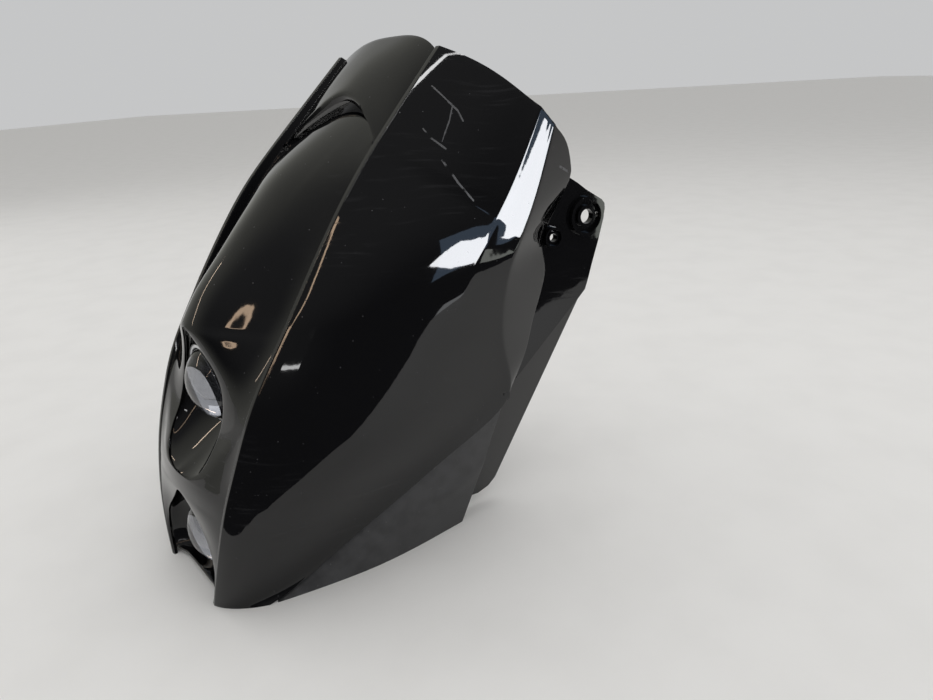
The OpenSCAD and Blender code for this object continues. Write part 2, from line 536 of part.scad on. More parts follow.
module bulb_cap(lamp) at_lamp(lamp) color("#161616") difference() {
    translate([0, 0, socket_end - 14]) cylinder(r = socket_r + cap_t, h = 14 + socket_l - 2);
    translate([0, 0, socket_end]) cylinder(r = socket_r + fit / 2, h = socket_l);
    translate([0, 0, socket_end - 14 + cap_t]) cylinder(r = bulb_base_r + 1.5, h = 15);
}

// Fasteners
adjuster_head_t = 4;
module adjusters(lamp) at_lamp(lamp) color("#c9ccd1") at_lugs() union() {
    translate([0, 0, holder_back - adjuster_head_t]) cylinder(d = head_d, h = adjuster_head_t);
    translate([0, 0, holder_back - 1])
        cylinder(d = screw_d, h = flange_t + carrier_gap + carrier_t + 1);
    translate([0, 0, holder_back + flange_t]) cylinder(d = head_d, h = carrier_gap);
}
module screw(l, head_t = 3) {
    translate([0, 0, -head_t]) cylinder(d = head_d, h = head_t);
    translate([0, 0, -1]) cylinder(d = screw_d, h = l + 1);
}
module reflector_screws(lamp) at_lamp(lamp) color("#8d9096") at_ears()
    translate([0, 0, reflector_front - flange_t]) {
        translate([0, 0, -2]) cylinder(d = 2 * small_screw_d, h = 2);
        translate([0, 0, -1]) cylinder(d = small_screw_d, h = 1 + 2 * flange_t + shutter_t);
    }
module carrier_screws() color("#8d9096")
    for (s = [[upper_lamp, upper_post], [lower_lamp, lower_post]]) at_lamp(s[0]) both_sides()
        translate([s[1].x, s[1].y, carrier_back]) screw(carrier_t + 10);
module inner_panel_screws() color("#8d9096") both_sides() at_panel_screws()
    translate([0, 0, -plate_t]) screw(plate_t + panel_screw_l);
module lower_panel_screws() color("#8d9096") both_sides() for (p = fin_screws)
    at_fin(p) translate([0, 0, -plate_t]) screw(plate_t + 6);

front_cowl();
upper_bezel();
lower_bezel();
left_lower_panel();
right_lower_panel();
left_inner_panel();
right_inner_panel();
lamp_carrier();
lens(upper_lamp);  // upper_lens
lens(lower_lamp);  // lower_lens
lens_ring(upper_lamp);  // upper_lens_ring
lens_ring(lower_lamp);  // lower_lens_ring
lens_holder(upper_lamp);  // upper_lens_holder
lens_holder(lower_lamp);  // lower_lens_holder
shutter(upper_lamp);  // upper_shutter
shutter(lower_lamp);  // lower_shutter
reflector(upper_lamp);  // upper_reflector
reflector(lower_lamp);  // lower_reflector
bulb(upper_lamp);  // upper_bulb
bulb(lower_lamp);  // lower_bulb
bulb_cap(upper_lamp);  // upper_bulb_cap
bulb_cap(lower_lamp);  // lower_bulb_cap
adjusters(upper_lamp);  // upper_adjusters
adjusters(lower_lamp);  // lower_adjusters
reflector_screws(upper_lamp);  // upper_reflector_screws
reflector_screws(lower_lamp);  // lower_reflector_screws
carrier_screws();
inner_panel_screws();
lower_panel_screws();
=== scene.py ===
"""The looks of a gloss black headlight cowl, built round its packed construction.

Sizes inside the classes are in millimetres, in the frame of the construction, and are turned into
metres when a mesh is made. The nose points along -Y and Z is up.
"""

import json
import logging
import math
from dataclasses import dataclass, field
from enum import Enum
from typing import Callable, Sequence

import bmesh
import bpy
import numpy as np
from mathutils import Matrix, Vector

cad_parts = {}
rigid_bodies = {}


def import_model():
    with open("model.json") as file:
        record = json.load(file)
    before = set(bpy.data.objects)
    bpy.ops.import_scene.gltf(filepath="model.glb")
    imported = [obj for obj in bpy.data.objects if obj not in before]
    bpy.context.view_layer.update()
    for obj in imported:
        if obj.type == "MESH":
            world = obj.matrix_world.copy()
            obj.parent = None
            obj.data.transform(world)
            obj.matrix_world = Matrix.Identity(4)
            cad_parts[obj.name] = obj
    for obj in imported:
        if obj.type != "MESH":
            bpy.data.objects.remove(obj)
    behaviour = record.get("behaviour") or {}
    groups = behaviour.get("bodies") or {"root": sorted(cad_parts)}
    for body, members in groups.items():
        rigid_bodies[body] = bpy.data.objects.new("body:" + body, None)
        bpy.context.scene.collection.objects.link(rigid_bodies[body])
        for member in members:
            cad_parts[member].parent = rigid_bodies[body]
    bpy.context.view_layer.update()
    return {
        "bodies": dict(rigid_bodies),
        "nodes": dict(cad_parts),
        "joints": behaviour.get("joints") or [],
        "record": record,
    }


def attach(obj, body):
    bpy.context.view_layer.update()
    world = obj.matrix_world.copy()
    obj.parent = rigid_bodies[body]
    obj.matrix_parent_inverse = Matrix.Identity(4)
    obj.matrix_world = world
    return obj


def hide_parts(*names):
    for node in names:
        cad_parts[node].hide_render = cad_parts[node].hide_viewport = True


LOG = logging.getLogger("cowl")
MM = 0.001
NOSE_Y = -166.5
Point = Sequence[float]


class Line:
    """A smooth curve through points, read at a position counted in points."""

    def __init__(self, points: Sequence[Point], mirror_start: bool = False,
                 mirror_end: bool = False) -> None:
        """Fits the curve.

        Args:
            points: the points that the curve passes through.
            mirror_start: carry the curve on past its first point as its mirror image in X.
            mirror_end: carry the curve on past its last point as its mirror image in X.
        """
        known = np.array(points, dtype=float)
        flip = np.array([-1.0] + [1.0] * (known.shape[1] - 1))
        self.last = len(known) - 1
        self.skip = self.last if mirror_start else 0
        if mirror_start:
            known = np.vstack([known[:0:-1] * flip, known])
        if mirror_end:
            known = np.vstack([known, known[-2::-1] * flip])
        self.known = known
        self.bend = self._second_derivatives(known)

    @staticmethod
    def _second_derivatives(known: np.ndarray) -> np.ndarray:
        """Second derivatives of the natural cubic spline through evenly numbered points.

        Args:
            known: the points, one to a row.

        Returns:
            The second derivatives, one to a row.
        """
        count = len(known)
        system = np.eye(count)
        right = np.zeros_like(known)
        for i in range(1, count - 1):
            system[i, i - 1:i + 2] = (1.0, 4.0, 1.0)
            right[i] = 6.0 * (known[i - 1] - 2.0 * known[i] + known[i + 1])
        return np.linalg.solve(system, right)

    def at(self, position: float) -> np.ndarray:
        """Reads the curve.

        Args:
            position: the place along it, counted in the given points.

        Returns:
            The point.
        """
        place = position + self.skip
        low = int(min(max(math.floor(place), 0), len(self.known) - 2))
        t = place - low
        a, b = self.known[low], self.known[low + 1]
        p, q = self.bend[low], self.bend[low + 1]
        u = 1.0 - t
        return a * u + b * t + ((u ** 3 - u) * p + (t ** 3 - t) * q) / 6.0


def mix(a: np.ndarray | float, b: np.ndarray | float, t: float) -> np.ndarray | float:
    """The value a share t of the way from a to b."""
    return a + (b - a) * t


def eased(share: float) -> float:
    """A share from 0 to 1 that sets off and arrives gently."""
    held = min(max(share, 0.0), 1.0)
    return held * held * (3 - 2 * held)


def unit(vector: np.ndarray) -> np.ndarray:
    """The vector at a length of one."""
    return vector / max(float(np.linalg.norm(vector)), 1e-9)


def rounded(corners: Sequence[np.ndarray], share: float) -> np.ndarray:
    """A point of the quadratic B-spline of a polygon, which rounds off the polygon's corners.

    Args:
        corners: the polygon's corners, three or more.
        share: the place along it, from 0 to 1.

    Returns:
        The point.
    """
    spans = len(corners) - 2
    place = min(share * spans, spans - 1e-6)
    i = int(place)
    t = place - i
    return (0.5 * (1 - t) ** 2 * corners[i] + (0.5 + t * (1 - t)) * corners[i + 1]
            + 0.5 * t * t * corners[i + 2])


class Opening(Enum):
    """The two lamp openings of the cowl."""

    UPPER = "upper"
    LOWER = "lower"


@dataclass(frozen=True)
class CowlForm:
    """The curve network of the cowl's left half: rows from the floor to the top rim."""

    wall: float = 2.6
    ridge_width: float = 4.5
    ridge_rise: float = 8.0
    fullness: float = 0.33
    crease_rise: float = 2.4
    rim_bow: float = 8.0
    flank_share: float = 0.55
    arch_power: float = 1.7
    crease_shares: tuple[float, float] = (0.74, 0.86)
    crease_width: float = 0.07
    crease_soft: float = 0.15
    crease_run_out: float = 0.06
    crease_out: Point = (1, -0.1, 0.4)
    lower_rows: float = 6.0
    strip_row: float = 7.0
    lip_row: float = 8.0
    upper_rows: float = 19.0
    corner_row: float = 13.0
    fade_row: float = 20.0
    bow_row: float = 24.0
    hood_row: float = 26.0
    brow_row: float = 27.0
    top_row: float = 32.0
    blend_rows: float = 4.0
    ridge_places: tuple[float, ...] = (0, 2.75, 3.02, 3.25, 7, 9.96, 10, 11)
    corner_place: float = 6.0
    flange_end: float = 5.5
    flange_top: Point = (129.6, 276.5, 313)
    flange_bulge: Point = (0.0, 3.0, 3.5)
    ridge_line: Line = field(default_factory=lambda: Line([
        (43.6, 0, 0), (51.4, 1.9, 21.6), (60.1, 6.2, 51.9), (66.5, 13, 82.6), (71.1, 20.6, 106.6),
        (74.5, 31, 134), (77.3, 46, 165), (79.2, 67, 197), (80, 82, 219), (78.6, 117, 267),
        (73.6, 158, 311), (68, 222.5, 372)]))
    lower_lip: Line = field(default_factory=lambda: Line([
        (39.5, 0.5, 0), (45, 2.6, 14), (47, 4, 28), (43.5, 5.3, 41), (31, 6.6, 54),
        (14.5, 5.8, 68), (0, 4.8, 76)], mirror_end=True))
    upper_lip: Line = field(default_factory=lambda: Line([
        (0, 6, 92), (14, 7.2, 92.8), (25, 9.8, 96), (33, 14.5, 103), (37, 21, 114), (38, 29, 127),
        (38, 35, 144), (33, 37.4, 161), (23, 36.4, 175), (11.5, 33.8, 188), (0, 31.4, 197)],
        mirror_start=True, mirror_end=True))
    middle: Line = field(default_factory=lambda: Line([
        (0, 4.8, 76), (0, 5.2, 84), (0, 6, 92)]))
    hood_line: Line = field(default_factory=lambda: Line([
        (0, 31.4, 197), (0, 42, 213), (0, 54, 227), (0, 69, 242), (0, 86, 259.5), (0, 106, 279),
        (0, 130, 299), (0, 181, 330)]))
    brow_line: Line = field(default_factory=lambda: Line([
        (0, 181, 344), (0, 206, 365), (0, 231, 383)]))
    lower_edge: Line = field(default_factory=lambda: Line([
        (72, 30, 0), (77, 59, 11), (85.5, 97, 32), (96, 134, 53.5), (104.5, 168, 73),
        (111, 203.5, 90), (115, 234, 112), (118.5, 229.5, 146), (123, 223, 180),
        (128, 226.5, 216), (130, 239, 241), (130.5, 256, 274), (130, 274, 316)]))
    flange_edge: Line = field(default_factory=lambda: Line([
        (113.4, 238.5, 116.5), (113.8, 255, 144), (115.4, 263, 171), (117.8, 273.5, 206),
        (117.6, 272.5, 232), (122, 291, 264), (123.8, 298, 281)]))
    profile: Line = field(default_factory=lambda: Line([
        (0.02, 0.3, 22, 63), (0.03, 0.35, 24, 66), (0.04, 0.4, 26, 70), (0.05, 0.5, 28, 74),
        (0.08, 0.6, 30, 78), (0.15, 0.7, 31, 81), (0.35, 0.8, 32, 84), (0.7, 0.9, 33, 87),
        (0.95, 1, 33, 87), (1, 1, 32, 84), (0.75, 1, 30, 72), (0.42, 1, 26, 55)]))

    def ridge_at(self, row: float) -> float:
        """Where a row crosses the ridge line.

        Args:
            row: the row.

        Returns:
            The place, counted in the ridge line's points.
        """
        rows = (0, self.lower_rows, self.strip_row, self.lip_row, self.upper_rows, self.hood_row,
                self.brow_row, self.top_row)
        return float(np.interp(row, rows, self.ridge_places))

    def back_at(self, row: float) -> float:
        """Where a row meets the rear edge, counted from the front of the lower edge."""
        return float(np.interp(row, (0, self.corner_row, self.top_row),
                               (0, self.corner_place, self.lower_edge.last)))

    def start(self, row: float) -> np.ndarray:
        """Where a row starts, on a lamp opening's lip or in the plane of symmetry.

        Args:
            row: the row.

        Returns:
            The point.
        """
        if row <= self.lower_rows:
            point = self.lower_lip.at(row)
        elif row < self.lip_row:
            point = self.middle.at(row - self.lower_rows)
        elif row <= self.upper_rows:
            span = self.upper_rows - self.lip_row
            point = self.upper_lip.at(self.upper_lip.last * (row - self.lip_row) / span)
        elif row <= self.hood_row:
            span = self.hood_row - self.upper_rows
            point = self.hood_line.at(self.hood_line.last * (row - self.upper_rows) / span)
        else:
            span = self.top_row - self.brow_row
            point = self.brow_line.at(self.brow_line.last * (row - self.brow_row) / span)
        return np.array((max(0.0, point[0]), point[1], point[2]))

    def ridge(self, row: float) -> np.ndarray:
        """The outer edge of the ridge's crest."""
        return self.ridge_line.at(self.ridge_at(row))

    def back(self, row: float) -> np.ndarray:
        """The rear edge of the side panel."""
        return self.lower_edge.at(self.back_at(row))

    def flange(self, row: float) -> np.ndarray:
        """The inner edge of the flange behind the side panel.

        Args:
            row: the row, at or above the corner.

        Returns:
            The point, which runs out to the rim above the end of the drawn edge.
        """
        place = self.back_at(row) - self.corner_place
        if place <= self.flange_end:
            return self.flange_edge.at(self.flange_edge.last * place / self.flange_end)
        rest = self.lower_edge.last - self.corner_place - self.flange_end
        share = (place - self.flange_end) / rest
        bulge = np.array(self.flange_bulge) * math.sin(math.pi * share)
        return mix(self.flange_edge.at(self.flange_edge.last), np.array(self.flange_top),
                   share) + bulge

    def ridge_out(self, row: float) -> np.ndarray:
        """The direction out of the cowl across the ridge, in the plane of symmetry.

        Args:
            row: the row.

        Returns:
            The direction, one long.
        """
        place, step, line = self.ridge_at(row), 0.1, self.ridge_line
        along = line.at(min(place + step, line.last)) - line.at(max(place - step, 0))
        return unit(np.array((0.0, -along[2], along[1] if row > 0 else 0.0)))

    def shape_at(self, row: float) -> tuple[float, float, float, float]:
        """The sizes of a row's section.

        Args:
            row: the row.

        Returns:
            Rise of the ridge, its width, and the side panel's two end angles in radians.
        """
        rise, width, nose, tail = self.profile.at(self.ridge_at(row))
        return (self.ridge_rise * max(rise, 0.02), self.ridge_width * width,
                math.radians(nose), math.radians(tail))

    def foot(self, row: float) -> np.ndarray:
        """The inner foot of the ridge.

        Args:
            row: the row.

        Returns:
            The point.
        """
        rise, width, _, _ = self.shape_at(row)
        return (self.ridge(row) - np.array((width * (1 + self.flank_share), 0, 0))
                - rise * self.ridge_out(row))

    def strip(self, row: float, t: float) -> np.ndarray:
        """The centre strip.

        Args:
            row: the row.
            t: the share of the way from the row's start to the foot of the ridge.

        Returns:
            The point.
        """
        a, b = self.start(row), self.foot(row)
        arch = 1 - t ** self.arch_power
        if row <= self.strip_row:
            fall = 1 - t * t
        elif row > self.hood_row:
            share = (row - self.brow_row) / (self.top_row - self.brow_row)
            fall = mix(arch, 1 - t ** 3, eased(share))
        else:
            fall = mix(1 - t * t, (1 + math.cos(math.pi * t)) / 2,
                       eased((row - self.strip_row) / self.blend_rows))
            fall = mix(fall, arch, eased((row - self.fade_row) / (self.hood_row - self.fade_row)))
        return np.array((mix(a[0], b[0], t), mix(b[1], a[1], fall), mix(b[2], a[2], fall)))

    def above(self, row: float, first: float) -> float:
        """How far a row lies between a first one and the top rim, as a share from 0."""
        return max(0.0, (row - first) / (self.top_row - first))

    def crease_share(self, row: float) -> float:
        """Share of the side panel's section at which its rear crease lies."""
        return mix(*self.crease_shares, self.above(row, self.fade_row))

    def side(self, row: float, t: float) -> np.ndarray:
        """The side panel, with its rear crease and the bow of its top rim.

        Args:
            row: the row.
            t: the share of the way from the ridge to the rear edge.

        Returns:
            The point.
        """
        _, _, nose, tail = self.shape_at(row)
        a, d = self.ridge(row), self.back(row)
        reach = self.fullness * math.hypot(d[0] - a[0], d[1] - a[1])
        third = (d[2] - a[2]) / 3
        b = a + np.array((reach * math.cos(nose), reach * math.sin(nose), third))
        c = d - np.array((reach * math.cos(tail), reach * math.sin(tail), third))
        u = 1 - t
        away = (t - self.crease_share(row)) / self.crease_width
        soft = self.crease_soft
        lift = (self.crease_rise * self.above(row, self.fade_row) ** 0.8
                * math.exp(soft - math.hypot(soft, away)))
        lift *= min(1.0, (1 - t) / self.crease_run_out)
        bow = self.rim_bow * self.above(row, self.bow_row) ** 1.5 * math.sin(math.pi * t)
        return (a * u ** 3 + 3 * b * t * u * u + 3 * c * t * t * u + d * t ** 3
                + lift * unit(np.array(self.crease_out)) + np.array((0, 0, bow)))

    def side_out(self, row: float, t: float) -> np.ndarray:
        """The direction straight out of the side panel.

        Args:
            row: the row.
            t: the share of the way from the ridge to the rear edge.

        Returns:
            The direction, one long.
        """
        step, rise = (0.03 if t < 0.5 else -0.03), 0.2
        across = (self.side(row, t + step) - self.side(row, t)) * (1 if step > 0 else -1)
        up = self.side(min(row + rise, self.top_row), t) - self.side(max(row - rise, 0), t)
        return unit(np.cross(across, up))


def placed(point: Point) -> Vector:
    """A point of the drawing, in millimetres from the nose, as metres in the shared frame."""
    return Vector((point[0] * MM, (point[1] + NOSE_Y) * MM, point[2] * MM))


def mapped_grid(columns: int, rows: int, place: Callable[[int, int], Point],
                kept: Callable[[int, int], bool] | None = None) -> bmesh.types.BMesh:
    """A grid of quads laid on a surface.

    Args:
        columns: number of points across.
        rows: number of points up.
        place: gives the point for a column and a row, in drawing millimetres.
        kept: says whether the cell above and right of a column and a row is there.

    Returns:
        The new mesh.
    """
    mesh = bmesh.new()
    bmesh.ops.create_grid(mesh, x_segments=columns - 1, y_segments=rows - 1, size=1)
    cell_x, cell_y = 2 / (columns - 1), 2 / (rows - 1)
    if kept is not None:
        spare = []
        for face in mesh.faces:
            middle = face.calc_center_median()
            cell = (int((middle.x + 1) / cell_x), int((middle.y + 1) / cell_y))
            if not kept(*cell):
                spare.append(face)
        bmesh.ops.delete(mesh, geom=spare, context="FACES")
    for vert in mesh.verts:
        column = round((vert.co.x + 1) / cell_x)
        row = round((vert.co.y + 1) / cell_y)
        vert.co = placed(place(column, row))
    return mesh


def join_grid(mesh: bmesh.types.BMesh, other: bmesh.types.BMesh) -> None:
    """Adds a grid to a mesh.

    Args:
        mesh: the mesh that grows.
        other: the grid, which is freed.
    """
    data = bpy.data.meshes.new("joined")
    other.to_mesh(data)
    other.free()
    mesh.from_mesh(data)
    bpy.data.meshes.remove(data)


def mirrored_half(mesh: bmesh.types.BMesh) -> None:
    """Adds the mirror image in X and joins the two where they meet."""
    geometry = mesh.verts[:] + mesh.edges[:] + mesh.faces[:]
    bmesh.ops.mirror(mesh, geom=geometry, matrix=Matrix.Identity(4), merge_dist=1e-5, axis="X")


def face_towards(mesh: bmesh.types.BMesh, outside: Vector) -> None:
    """Turns an open sheet so that its faces look towards a point.

    Args:
        mesh: the sheet.
        outside: a point that the sheet's faces should look towards.
    """
    bmesh.ops.recalc_face_normals(mesh, faces=mesh.faces)
    votes = sum(1 if face.normal.dot(outside - face.calc_center_median()) > 0 else -1
                for face in mesh.faces)
    if votes < 0:
        bmesh.ops.reverse_faces(mesh, faces=mesh.faces)


def relaxed(mesh: bmesh.types.BMesh, verts: list[bmesh.types.BMVert], times: int) -> None:
    """Draws some points of a mesh towards their neighbours.

    Args:
        mesh: the mesh.
        verts: the points that may move.
        times: how often they are drawn.
    """
    for _ in range(times):
        bmesh.ops.smooth_vert(mesh, verts=verts, factor=0.5, use_axis_x=True, use_axis_y=True,
                              use_axis_z=True)


def as_piece(mesh: bmesh.types.BMesh, name: str, material: bpy.types.Material) -> bpy.types.Object:
    """Makes an object of a mesh, shaded smooth, at the origin.

    Args:
        mesh: the mesh, which is freed.
        name: the object's name.
        material: its finish.

    Returns:
        The object.
    """
    data = bpy.data.meshes.new(name)
    mesh.to_mesh(data)
    mesh.free()
    data.materials.append(material)
    data.shade_smooth()
    piece = bpy.data.objects.new(name, data)
    bpy.context.scene.collection.objects.link(piece)
    return piece


def round_rims(piece: bpy.types.Object, edge: float, angle: float) -> None:
    """Rounds a piece's sharp edges.

    Args:
        piece: the piece.
        edge: width of the rounding in millimetres.
        angle: the bend in degrees from which an edge is rounded.
    """
    rim = piece.modifiers.new("rim", "BEVEL")
    rim.width = edge * MM
    rim.segments = 3
    rim.limit_method = "ANGLE"
    rim.angle_limit = math.radians(angle)
    rim.use_clamp_overlap = True


def thickened(piece: bpy.types.Object, wall: float, edge: float) -> None:
    """Gives a sheet its wall, behind its outer face, and rounds its rims.

    Args:
        piece: the sheet.
        wall: thickness in millimetres.
        edge: width of the rounding in millimetres.
    """
    solid = piece.modifiers.new("wall", "SOLIDIFY")
    solid.thickness = wall * MM
    solid.offset = -1.0
    solid.use_quality_normals = True
    round_rims(piece, edge, 50)


def levelled(piece: bpy.types.Object) -> None:
    """Cuts off what a piece has under the floor, as the construction's cut does.

    Args:
        piece: the piece, whose modifiers are applied where it is cut.
    """
    mesh = bmesh.new()
    mesh.from_object(piece, bpy.context.evaluated_depsgraph_get())
    if min(vertex.co.z for vertex in mesh.verts) < 0:
        cut = bmesh.ops.bisect_plane(mesh, geom=[*mesh.verts, *mesh.edges, *mesh.faces],
                                     plane_co=(0, 0, 0), plane_no=(0, 0, 1), clear_inner=True)
        rims = [item for item in cut["geom_cut"] if isinstance(item, bmesh.types.BMEdge)]
        for rim in rims:
            rim.smooth = False
        bmesh.ops.triangle_fill(mesh, edges=rims, use_beauty=True)
        piece.modifiers.clear()
        mesh.to_mesh(piece.data)
    mesh.free()


def stands_for(piece: bpy.types.Object, node: str) -> None:
    """Levels a piece, ties it to the body and lets it stand for a node of the construction.

    Args:
        piece: the piece.
        node: the construction node that it is seen in place of.
    """
    levelled(piece)
    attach(piece, "root")
    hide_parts(node)
    LOG.info("%s stands for %s", piece.name, node)


class NodeMaker:
    """Short calls for one node tree."""

    def __init__(self, tree: bpy.types.NodeTree) -> None:
        """Keeps the tree that the nodes go into."""
        self.tree = tree

    def node(self, kind: str, **settings: object) -> bpy.types.Node:
        """Adds a node.

        Args:
            kind: Blender's name for it.
            **settings: its properties, and its inputs by name with spaces as underscores.

        Returns:
            The node.
        """
        made = self.tree.nodes.new(kind)
        for key, value in settings.items():
            if hasattr(made, key):
                setattr(made, key, value)
            else:
                made.inputs[key.replace("_", " ")].default_value = value
        return made

    def link(self, source: bpy.types.NodeSocket, target: bpy.types.NodeSocket) -> None:
        """Joins two sockets."""
        self.tree.links.new(source, target)

    def math(self, kind: str, first: object, second: object = 0.0,
             third: object = 0.0, clamp: bool = False) -> bpy.types.NodeSocket:
        """A Math node of up to three values or sockets.

        Args:
            kind: the operation.
            first: a number or a socket.
            second: a number or a socket.
            third: a number or a socket.
            clamp: keep the result between 0 and 1.

        Returns:
            The result's socket.
        """
        made = self.tree.nodes.new("ShaderNodeMath")
        made.operation = kind
        made.use_clamp = clamp
        for socket, value in zip(made.inputs, (first, second, third)):
            if isinstance(value, bpy.types.NodeSocket):
                self.link(value, socket)
            else:
                socket.default_value = value
        return made.outputs[0]

    def noise(self, place: bpy.types.NodeSocket, scale: float, detail: float = 2.0,
              stretch: Point = (1, 1, 1)) -> bpy.types.NodeSocket:
        """Noise over a place, with an optional stretch.

        Args:
            place: the coordinate socket.
            scale: cells to the metre.
            detail: octaves.
            stretch: scale along each axis.

        Returns:
            The noise value's socket.
        """
        mapping = self.node("ShaderNodeMapping", vector_type="POINT")
        mapping.inputs["Scale"].default_value = stretch
        self.link(place, mapping.inputs["Vector"])
        made = self.node("ShaderNodeTexNoise", Scale=scale, Detail=detail)
        self.link(mapping.outputs[0], made.inputs["Vector"])
        return made.outputs["Fac"]

    def ramp(self, value: bpy.types.NodeSocket, low: float, high: float) -> bpy.types.NodeSocket:
        """A value as a soft mask.

        Args:
            value: the value's socket.
            low: the value at which the mask is 0.
            high: the value at which the mask is 1.

        Returns:
            The mask's socket.
        """
        made = self.node("ShaderNodeMapRange", interpolation_type="SMOOTHSTEP")
        self.link(value, made.inputs["Value"])
        made.inputs["From Min"].default_value = low
        made.inputs["From Max"].default_value = high
        return made.outputs["Result"]


def new_group(name: str, inputs: dict[str, tuple[str, object]],
              outputs: dict[str, str],
              ) -> tuple[bpy.types.NodeTree, NodeMaker, bpy.types.Node, bpy.types.Node]:
    """A shader node group with named sockets.

    Args:
        name: the group's name.
        inputs: socket kind and default by name.
        outputs: socket kind by name.

    Returns:
        The group, a maker for its nodes, and the nodes that give its inputs and take its outputs.
    """
    tree = bpy.data.node_groups.new(name, "ShaderNodeTree")
    for label, (kind, default) in inputs.items():
        socket = tree.interface.new_socket(name=label, in_out="INPUT", socket_type=kind)
        if default is not None:
            socket.default_value = default
    for label, kind in outputs.items():
        tree.interface.new_socket(name=label, in_out="OUTPUT", socket_type=kind)
    make = NodeMaker(tree)
    return tree, make, make.node("NodeGroupInput"), make.node("NodeGroupOutput")


@dataclass(frozen=True)
class Scratch:
    """A straight scratch between two points of the shell, in drawing millimetres."""

    start: Point
    end: Point
    width: float


@dataclass(frozen=True)
class Effects:
    """Node groups that several finishes share."""

    dust: bpy.types.NodeTree
    haze: bpy.types.NodeTree
    scratch: bpy.types.NodeTree
    grain: bpy.types.NodeTree


FLOAT, VECTOR = "NodeSocketFloat", "NodeSocketVector"


def dust_group() -> bpy.types.NodeTree:
    """Small pale specks that lie thicker on faces that look up.

    Returns:
        The group, whose mask is 1 on a speck.
    """
    tree, make, given, out = new_group("settled dust", {
        "Place": (VECTOR, None), "Cells": (FLOAT, 260.0), "Amount": (FLOAT, 0.5)},
        {"Mask": FLOAT})
    cells = make.node("ShaderNodeTexVoronoi", feature="F1")
    make.link(given.outputs["Place"], cells.inputs["Vector"])
    make.link(given.outputs["Cells"], cells.inputs["Scale"])
    near = make.ramp(cells.outputs["Distance"], 0.16, 0.05)
    pick = make.node("ShaderNodeTexWhiteNoise", noise_dimensions="3D")
    make.link(cells.outputs["Position"], pick.inputs["Vector"])
    chosen = make.math("GREATER_THAN", given.outputs["Amount"], pick.outputs["Value"])
    face = make.node("ShaderNodeNewGeometry")
    up = make.node("ShaderNodeSeparateXYZ")
    make.link(face.outputs["Normal"], up.inputs[0])
    lying = make.math("MULTIPLY_ADD", up.outputs["Z"], 0.6, 0.4, clamp=True)
    speck = make.math("MULTIPLY", near, chosen)
    make.link(make.math("MULTIPLY", speck, lying), out.inputs["Mask"])
    return tree


def haze_group() -> bpy.types.NodeTree:
    """Broad wiping marks with fine hairlines in them.

    Returns:
        The group, whose mask is 1 in a hairline.
    """
    tree, make, given, out = new_group("wiping haze", {"Place": (VECTOR, None)}, {"Mask": FLOAT})
    place = given.outputs["Place"]
    patch = make.ramp(make.noise(place, 9.0, 3.0), 0.48, 0.66)
    warp = make.node("ShaderNodeTexNoise", Scale=7.0, Detail=1.0)
    make.link(place, warp.inputs["Vector"])
    bent = make.node("ShaderNodeVectorMath", operation="MULTIPLY_ADD")
    make.link(warp.outputs["Color"], bent.inputs[0])
    bent.inputs[1].default_value = (0.05, 0.05, 0.05)
    make.link(place, bent.inputs[2])
    lines = make.ramp(make.noise(bent.outputs[0], 60.0, 3.0, stretch=(1, 0.12, 6)), 0.55, 0.75)
    make.link(make.math("MULTIPLY", patch, lines), out.inputs["Mask"])
    return tree


def scratch_group() -> bpy.types.NodeTree:
    """One straight scratch that breaks up along its length.

    Returns:
        The group, whose mask is 1 in the scratch.
    """
    tree, make, given, out = new_group("straight scratch", {
        "Place": (VECTOR, None), "Start": (VECTOR, None), "End": (VECTOR, None),
        "Width": (FLOAT, 0.0003)}, {"Mask": FLOAT})

    def vector(kind: str, first: object, second: object) -> bpy.types.Node:
        """A Vector Math node.

        Args:
            kind: the operation.
            first: its first socket.
            second: its second socket.

        Returns:
            The node.
        """
        made = make.node("ShaderNodeVectorMath", operation=kind)
        make.link(first, made.inputs[0])
        make.link(second, made.inputs[1])
        return made

    away = vector("SUBTRACT", given.outputs["Place"], given.outputs["Start"]).outputs[0]
    along = vector("SUBTRACT", given.outputs["End"], given.outputs["Start"]).outputs[0]
    share = make.math("DIVIDE", vector("DOT_PRODUCT", away, along).outputs["Value"],
                      vector("DOT_PRODUCT", along, along).outputs["Value"], clamp=True)
    scaled = make.node("ShaderNodeVectorMath", operation="SCALE")
    make.link(along, scaled.inputs[0])
    make.link(share, scaled.inputs["Scale"])
    off = vector("SUBTRACT", away, scaled.outputs[0]).outputs[0]
    size = make.node("ShaderNodeVectorMath", operation="LENGTH")
    make.link(off, size.inputs[0])
    wander = make.math("MULTIPLY", make.noise(given.outputs["Place"], 300.0, 2.0), 0.0006)
    gap = make.math("SUBTRACT", size.outputs["Value"], wander)
    line = make.math("LESS_THAN", gap, given.outputs["Width"])
    broken = make.ramp(make.noise(given.outputs["Place"], 160.0, 1.0), 0.36, 0.5)
    make.link(make.math("MULTIPLY", line, broken), out.inputs["Mask"])
    return tree


def grain_group() -> bpy.types.NodeTree:
    """Moulded grain.

    Returns:
        The group, with the fine pimples as a height and the slower unevenness as a mask.
    """
    tree, make, given, out = new_group("moulded grain", {
        "Place": (VECTOR, None), "Fine": (FLOAT, 2200.0), "Coarse": (FLOAT, 90.0)},
        {"Height": FLOAT, "Mask": FLOAT})
    fine = make.node("ShaderNodeTexNoise", Detail=2.0)
    coarse = make.node("ShaderNodeTexNoise", Detail=3.0)
    for made, scale in ((fine, "Fine"), (coarse, "Coarse")):
        make.link(given.outputs["Place"], made.inputs["Vector"])
        make.link(given.outputs[scale], made.inputs["Scale"])
    make.link(fine.outputs["Fac"], out.inputs["Height"])
    make.link(make.ramp(coarse.outputs["Fac"], 0.3, 0.7), out.inputs["Mask"])
    return tree


def build_effects() -> Effects:
    """Builds the shared node groups once."""
    return Effects(dust_group(), haze_group(), scratch_group(), grain_group())


